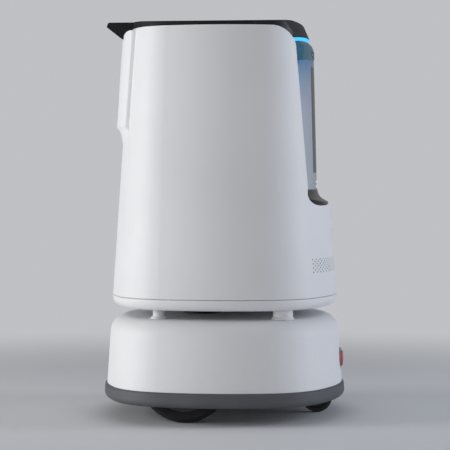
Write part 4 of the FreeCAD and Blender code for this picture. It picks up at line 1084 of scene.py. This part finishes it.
@dataclass
class HatchInside:
    """Seal and stiffening ribs on the inner face of the rear hatch."""

    half_width: float = 0.117
    low: float = 0.662
    high: float = 0.809
    corner: float = 0.018
    seal: float = 0.0022
    proud: float = 0.6
    step: float = 0.012
    rib_height: float = 0.005
    rib_thickness: float = 0.002
    rib_across: float = 0.05
    rib_end: float = 0.012
    cross_level: float = 0.742
    cross_half: float = 0.108
    sunk: float = 0.0004

    def inner(self, y: float, z: float) -> Vector:
        """A point on the hatch's inner face."""
        return touch("rear_hatch", (-0.17, y, z), (-1, 0, 0))[0]

    def gasket(self, material: bpy.types.Material) -> bpy.types.Object:
        """A round seal that follows a loop on the inner face."""
        middle = (self.low + self.high) / 2
        stand = Vector((self.seal * self.proud, 0, 0))
        loop = [self.inner(a, middle + b) + stand for a, b in
                rounded(self.half_width, (self.high - self.low) / 2, self.corner, 8)]
        dense = []
        for here, after in zip(loop, loop[1:] + loop[:1]):
            parts = max(1, int((after - here).length / self.step))
            for k in range(parts):
                spot = here.lerp(after, k / parts)
                dense.append(self.inner(spot.y, spot.z) + stand)
        start = bpy.data.meshes.new("gasket_path")
        start.from_pydata(dense, [(k, (k + 1) % len(dense)) for k in range(len(dense))], [])
        web = Web("gasket", Radius=self.seal, Sides=10)
        path = web.add("GeometryNodeMeshToCurve", None, {"Mesh": web.entry["Geometry"]})["Curve"]
        ring = web.add("GeometryNodeCurvePrimitiveCircle", None,
                       {"Resolution": web.entry["Sides"], "Radius": web.entry["Radius"]})["Curve"]
        tube = web.add("GeometryNodeCurveToMesh", None, {"Curve": path, "Profile Curve": ring})["Mesh"]
        return web.make("hatch_seal", tube, material, start)

    def ribs(self, mesh: bmesh.types.BMesh) -> None:
        """Two upright ribs and one across, on the inner face."""
        foot, tall = self.low + self.rib_end, self.high - self.low - 2 * self.rib_end
        runs = [[(y, foot + tall * k / 12) for k in range(13)] for y in (-self.rib_across, self.rib_across)]
        runs.append([(-self.cross_half + 2 * self.cross_half * k / 16, self.cross_level) for k in range(17)])
        for run in runs:
            upright = run[0][0] == run[-1][0]
            half = Vector((0, self.rib_thickness / 2, 0) if upright else (0, 0, self.rib_thickness / 2))
            rows = []
            for y, z in run:
                root = self.inner(y, z) - Vector((self.sunk, 0, 0))
                tip = root + Vector((self.rib_height, 0, 0))
                corners = (root - half, root + half, tip + half * 0.7, tip - half * 0.7)
                rows.append([mesh.verts.new(p) for p in corners])
            for low, high in zip(rows, rows[1:]):
                for k in range(4):
                    mesh.faces.new((low[k], low[(k + 1) % 4], high[(k + 1) % 4], high[k]))
            mesh.faces.new(rows[0][::-1])
            mesh.faces.new(rows[-1])

    def build(self) -> None:
        """Seal and ribs, riding on the hatch."""
        settle(self.gasket(Rubber("seal rubber", (0.03, 0.03, 0.032)).build()), "hatch")
        settle(solid("hatch_ribs", self.ribs, Moulded("rib white", WHITE).build()), "hatch")


@dataclass
class SoftHatch:
    """The rear hatch with the edge on its opening side rounded over, so that it runs into the body."""

    start: float = 0.1135
    edge: float = 0.150
    drop: float = 0.0115
    full_depth: float = 0.012
    cuts: int = 14
    merge: float = 0.000005

    def shoulder(self, y: float) -> float:
        """How far the rounding draws the face in at a distance across the hatch."""
        reach = min(1.0, max(0.0, (-y - self.start) / (self.edge - self.start)))
        return self.drop * (1.0 - math.sqrt(max(0.0, 1.0 - reach * reach)))

    def shape(self, mesh: bmesh.types.BMesh) -> None:
        """A merged copy of the hatch, cut into strips along the edge and drawn in."""
        mesh.from_mesh(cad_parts["rear_hatch"].data)
        bmesh.ops.remove_doubles(mesh, verts=mesh.verts, dist=self.merge)
        for k in range(self.cuts):
            y = -self.start - (self.edge - self.start) * math.sin(math.pi / 2 * k / self.cuts)
            bmesh.ops.bisect_plane(mesh, geom=[*mesh.verts, *mesh.edges, *mesh.faces], dist=0.0000005,
                                   plane_co=(0, y, 0), plane_no=(0, 1, 0))
        for corner in mesh.verts:
            draw = self.shoulder(corner.co.y)
            if draw > 0:
                skin, _ = touch("body_shell", (-OUTSIDE, corner.co.y, corner.co.z), (1, 0, 0))
                depth = min(1.0, max(0.0, (skin.x - corner.co.x) / self.full_depth))
                corner.co.x += draw * depth

    def build(self) -> None:
        """The hatch, in place of the plain one."""
        made = solid("hatch_panel", self.shape, Moulded("hatch panel white", WHITE).build(), 24.0)
        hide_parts("rear_hatch")
        settle(made, "hatch")


# ---- studio ------------------------------------------------------------------------------------


@dataclass
class Studio:
    """Pale floor and backdrop, soft lamps and the camera."""

    azimuth: float = 6.0
    distance: float = 4.14
    eye_height: float = 0.531
    tilt: float = 1.43
    focal: float = 144.0
    floor_radius: float = 9.0
    floor_drop: float = 0.0005
    floor_fade: tuple[float, float] = (0.9, 2.3)
    floor_colour: Colour = (0.78, 0.785, 0.80)
    backdrop: Colour = (0.52, 0.53, 0.55)
    ambient: Colour = (0.8, 0.82, 0.86)
    ambient_strength: float = 0.27

    def floor(self) -> None:
        """A round floor whose far part fades into the studio's background."""
        mesh = bmesh.new()
        bmesh.ops.create_circle(mesh, cap_ends=True, segments=96, radius=self.floor_radius,
                                matrix=Matrix.Translation((0, 0, -self.floor_drop)))
        data = bpy.data.meshes.new("studio_floor")
        mesh.to_mesh(data)
        mesh.free()
        g = Graph("studio floor")
        x, y, _ = g.parts(g.coords())
        tone = g.mix(g.noise(g.coords(), 1.2, 3.0), shade(self.floor_colour, 0.98), self.floor_colour)
        near = g.add("ShaderNodeBsdfPrincipled", None, {"Base Color": tone, "Roughness": 0.7})["BSDF"]
        far = g.add("ShaderNodeEmission", None, {"Color": self.backdrop, "Strength": 1.0})["Emission"]
        share = g.reach(x, y).step(*self.floor_fade)
        fade = g.add("ShaderNodeMixShader", None, {0: share, 1: near, 2: far})["Shader"]
        g.add("ShaderNodeOutputMaterial", None, {"Surface": fade})
        data.materials.append(g.material)
        placed("studio_floor", data)

    def surroundings(self) -> None:
        """The world: soft light on the object, and the plain backdrop where it is seen."""
        world = bpy.data.worlds.new("studio")
        world.use_nodes = True
        g = Network(world.node_tree)
        seen = g.add("ShaderNodeLightPath")["Is Camera Ray"]
        ambient = g.add("ShaderNodeBackground", None,
                        {"Color": self.ambient, "Strength": self.ambient_strength})
        backdrop = g.add("ShaderNodeBackground", None, {"Color": self.backdrop, "Strength": 1.0})
        both = g.add("ShaderNodeMixShader", None,
                     {0: seen, 1: ambient["Background"], 2: backdrop["Background"]})
        g.add("ShaderNodeOutputWorld", None, {"Surface": both["Shader"]})
        bpy.context.scene.world = world

    def lamp(self, name: str, place: Point, target: Point, size: tuple[float, float], power: float,
             colour: Colour = (1, 1, 1)) -> None:
        """Adds a soft rectangular lamp that points at a target."""
        light = bpy.data.lights.new(name, "AREA")
        light.shape = "RECTANGLE"
        light.size, light.size_y = size
        light.energy = power
        light.color = colour
        made = placed(name, light)
        made.location = place
        made.rotation_euler = (Vector(target) - Vector(place)).to_track_quat("-Z", "Y").to_euler()

    def camera(self) -> None:
        """The camera, level but for a small tilt down."""
        eye = bpy.data.cameras.new("camera")
        eye.lens = self.focal
        eye.sensor_width = 36.0
        made = placed("camera", eye)
        angle = math.radians(self.azimuth)
        made.location = (self.distance * math.sin(angle), -self.distance * math.cos(angle), self.eye_height)
        made.rotation_euler = (math.radians(90.0 - self.tilt), 0.0, angle)
        bpy.context.scene.camera = made
        bpy.context.scene.view_settings.view_transform = "Standard"

    def build(self) -> None:
        """Sets up floor, lamps, world and camera."""
        self.floor()
        self.lamp("key", (-3.45, -0.95, 0.8), (0, 0, 0.45), (1.6, 1.8), 88.0)
        self.lamp("fill", (-0.4, -4.6, 1.1), (0, 0, 0.45), (3.0, 1.8), 24.0)
        self.lamp("rim", (2.8, 0.2, 1.0), (0, 0, 0.5), (0.9, 1.6), 34.0, (0.80, 0.87, 1.0))
        self.lamp("top", (0.0, 0.2, 3.4), (0, 0, 0), (2.6, 2.6), 6.0)
        self.surroundings()
        self.camera()


def main() -> None:
    """Builds the looks in order."""
    logging.basicConfig(level=logging.INFO, format="%(name)s: %(message)s")
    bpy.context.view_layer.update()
    Studio().build()
    dress_cad()
    for assembly in (SpeakerHoles(), Fasteners(), Lenses(), BayPanel(), SoftHatch(), HatchInside()):
        assembly.build()


if __name__ == "__main__":
    main()
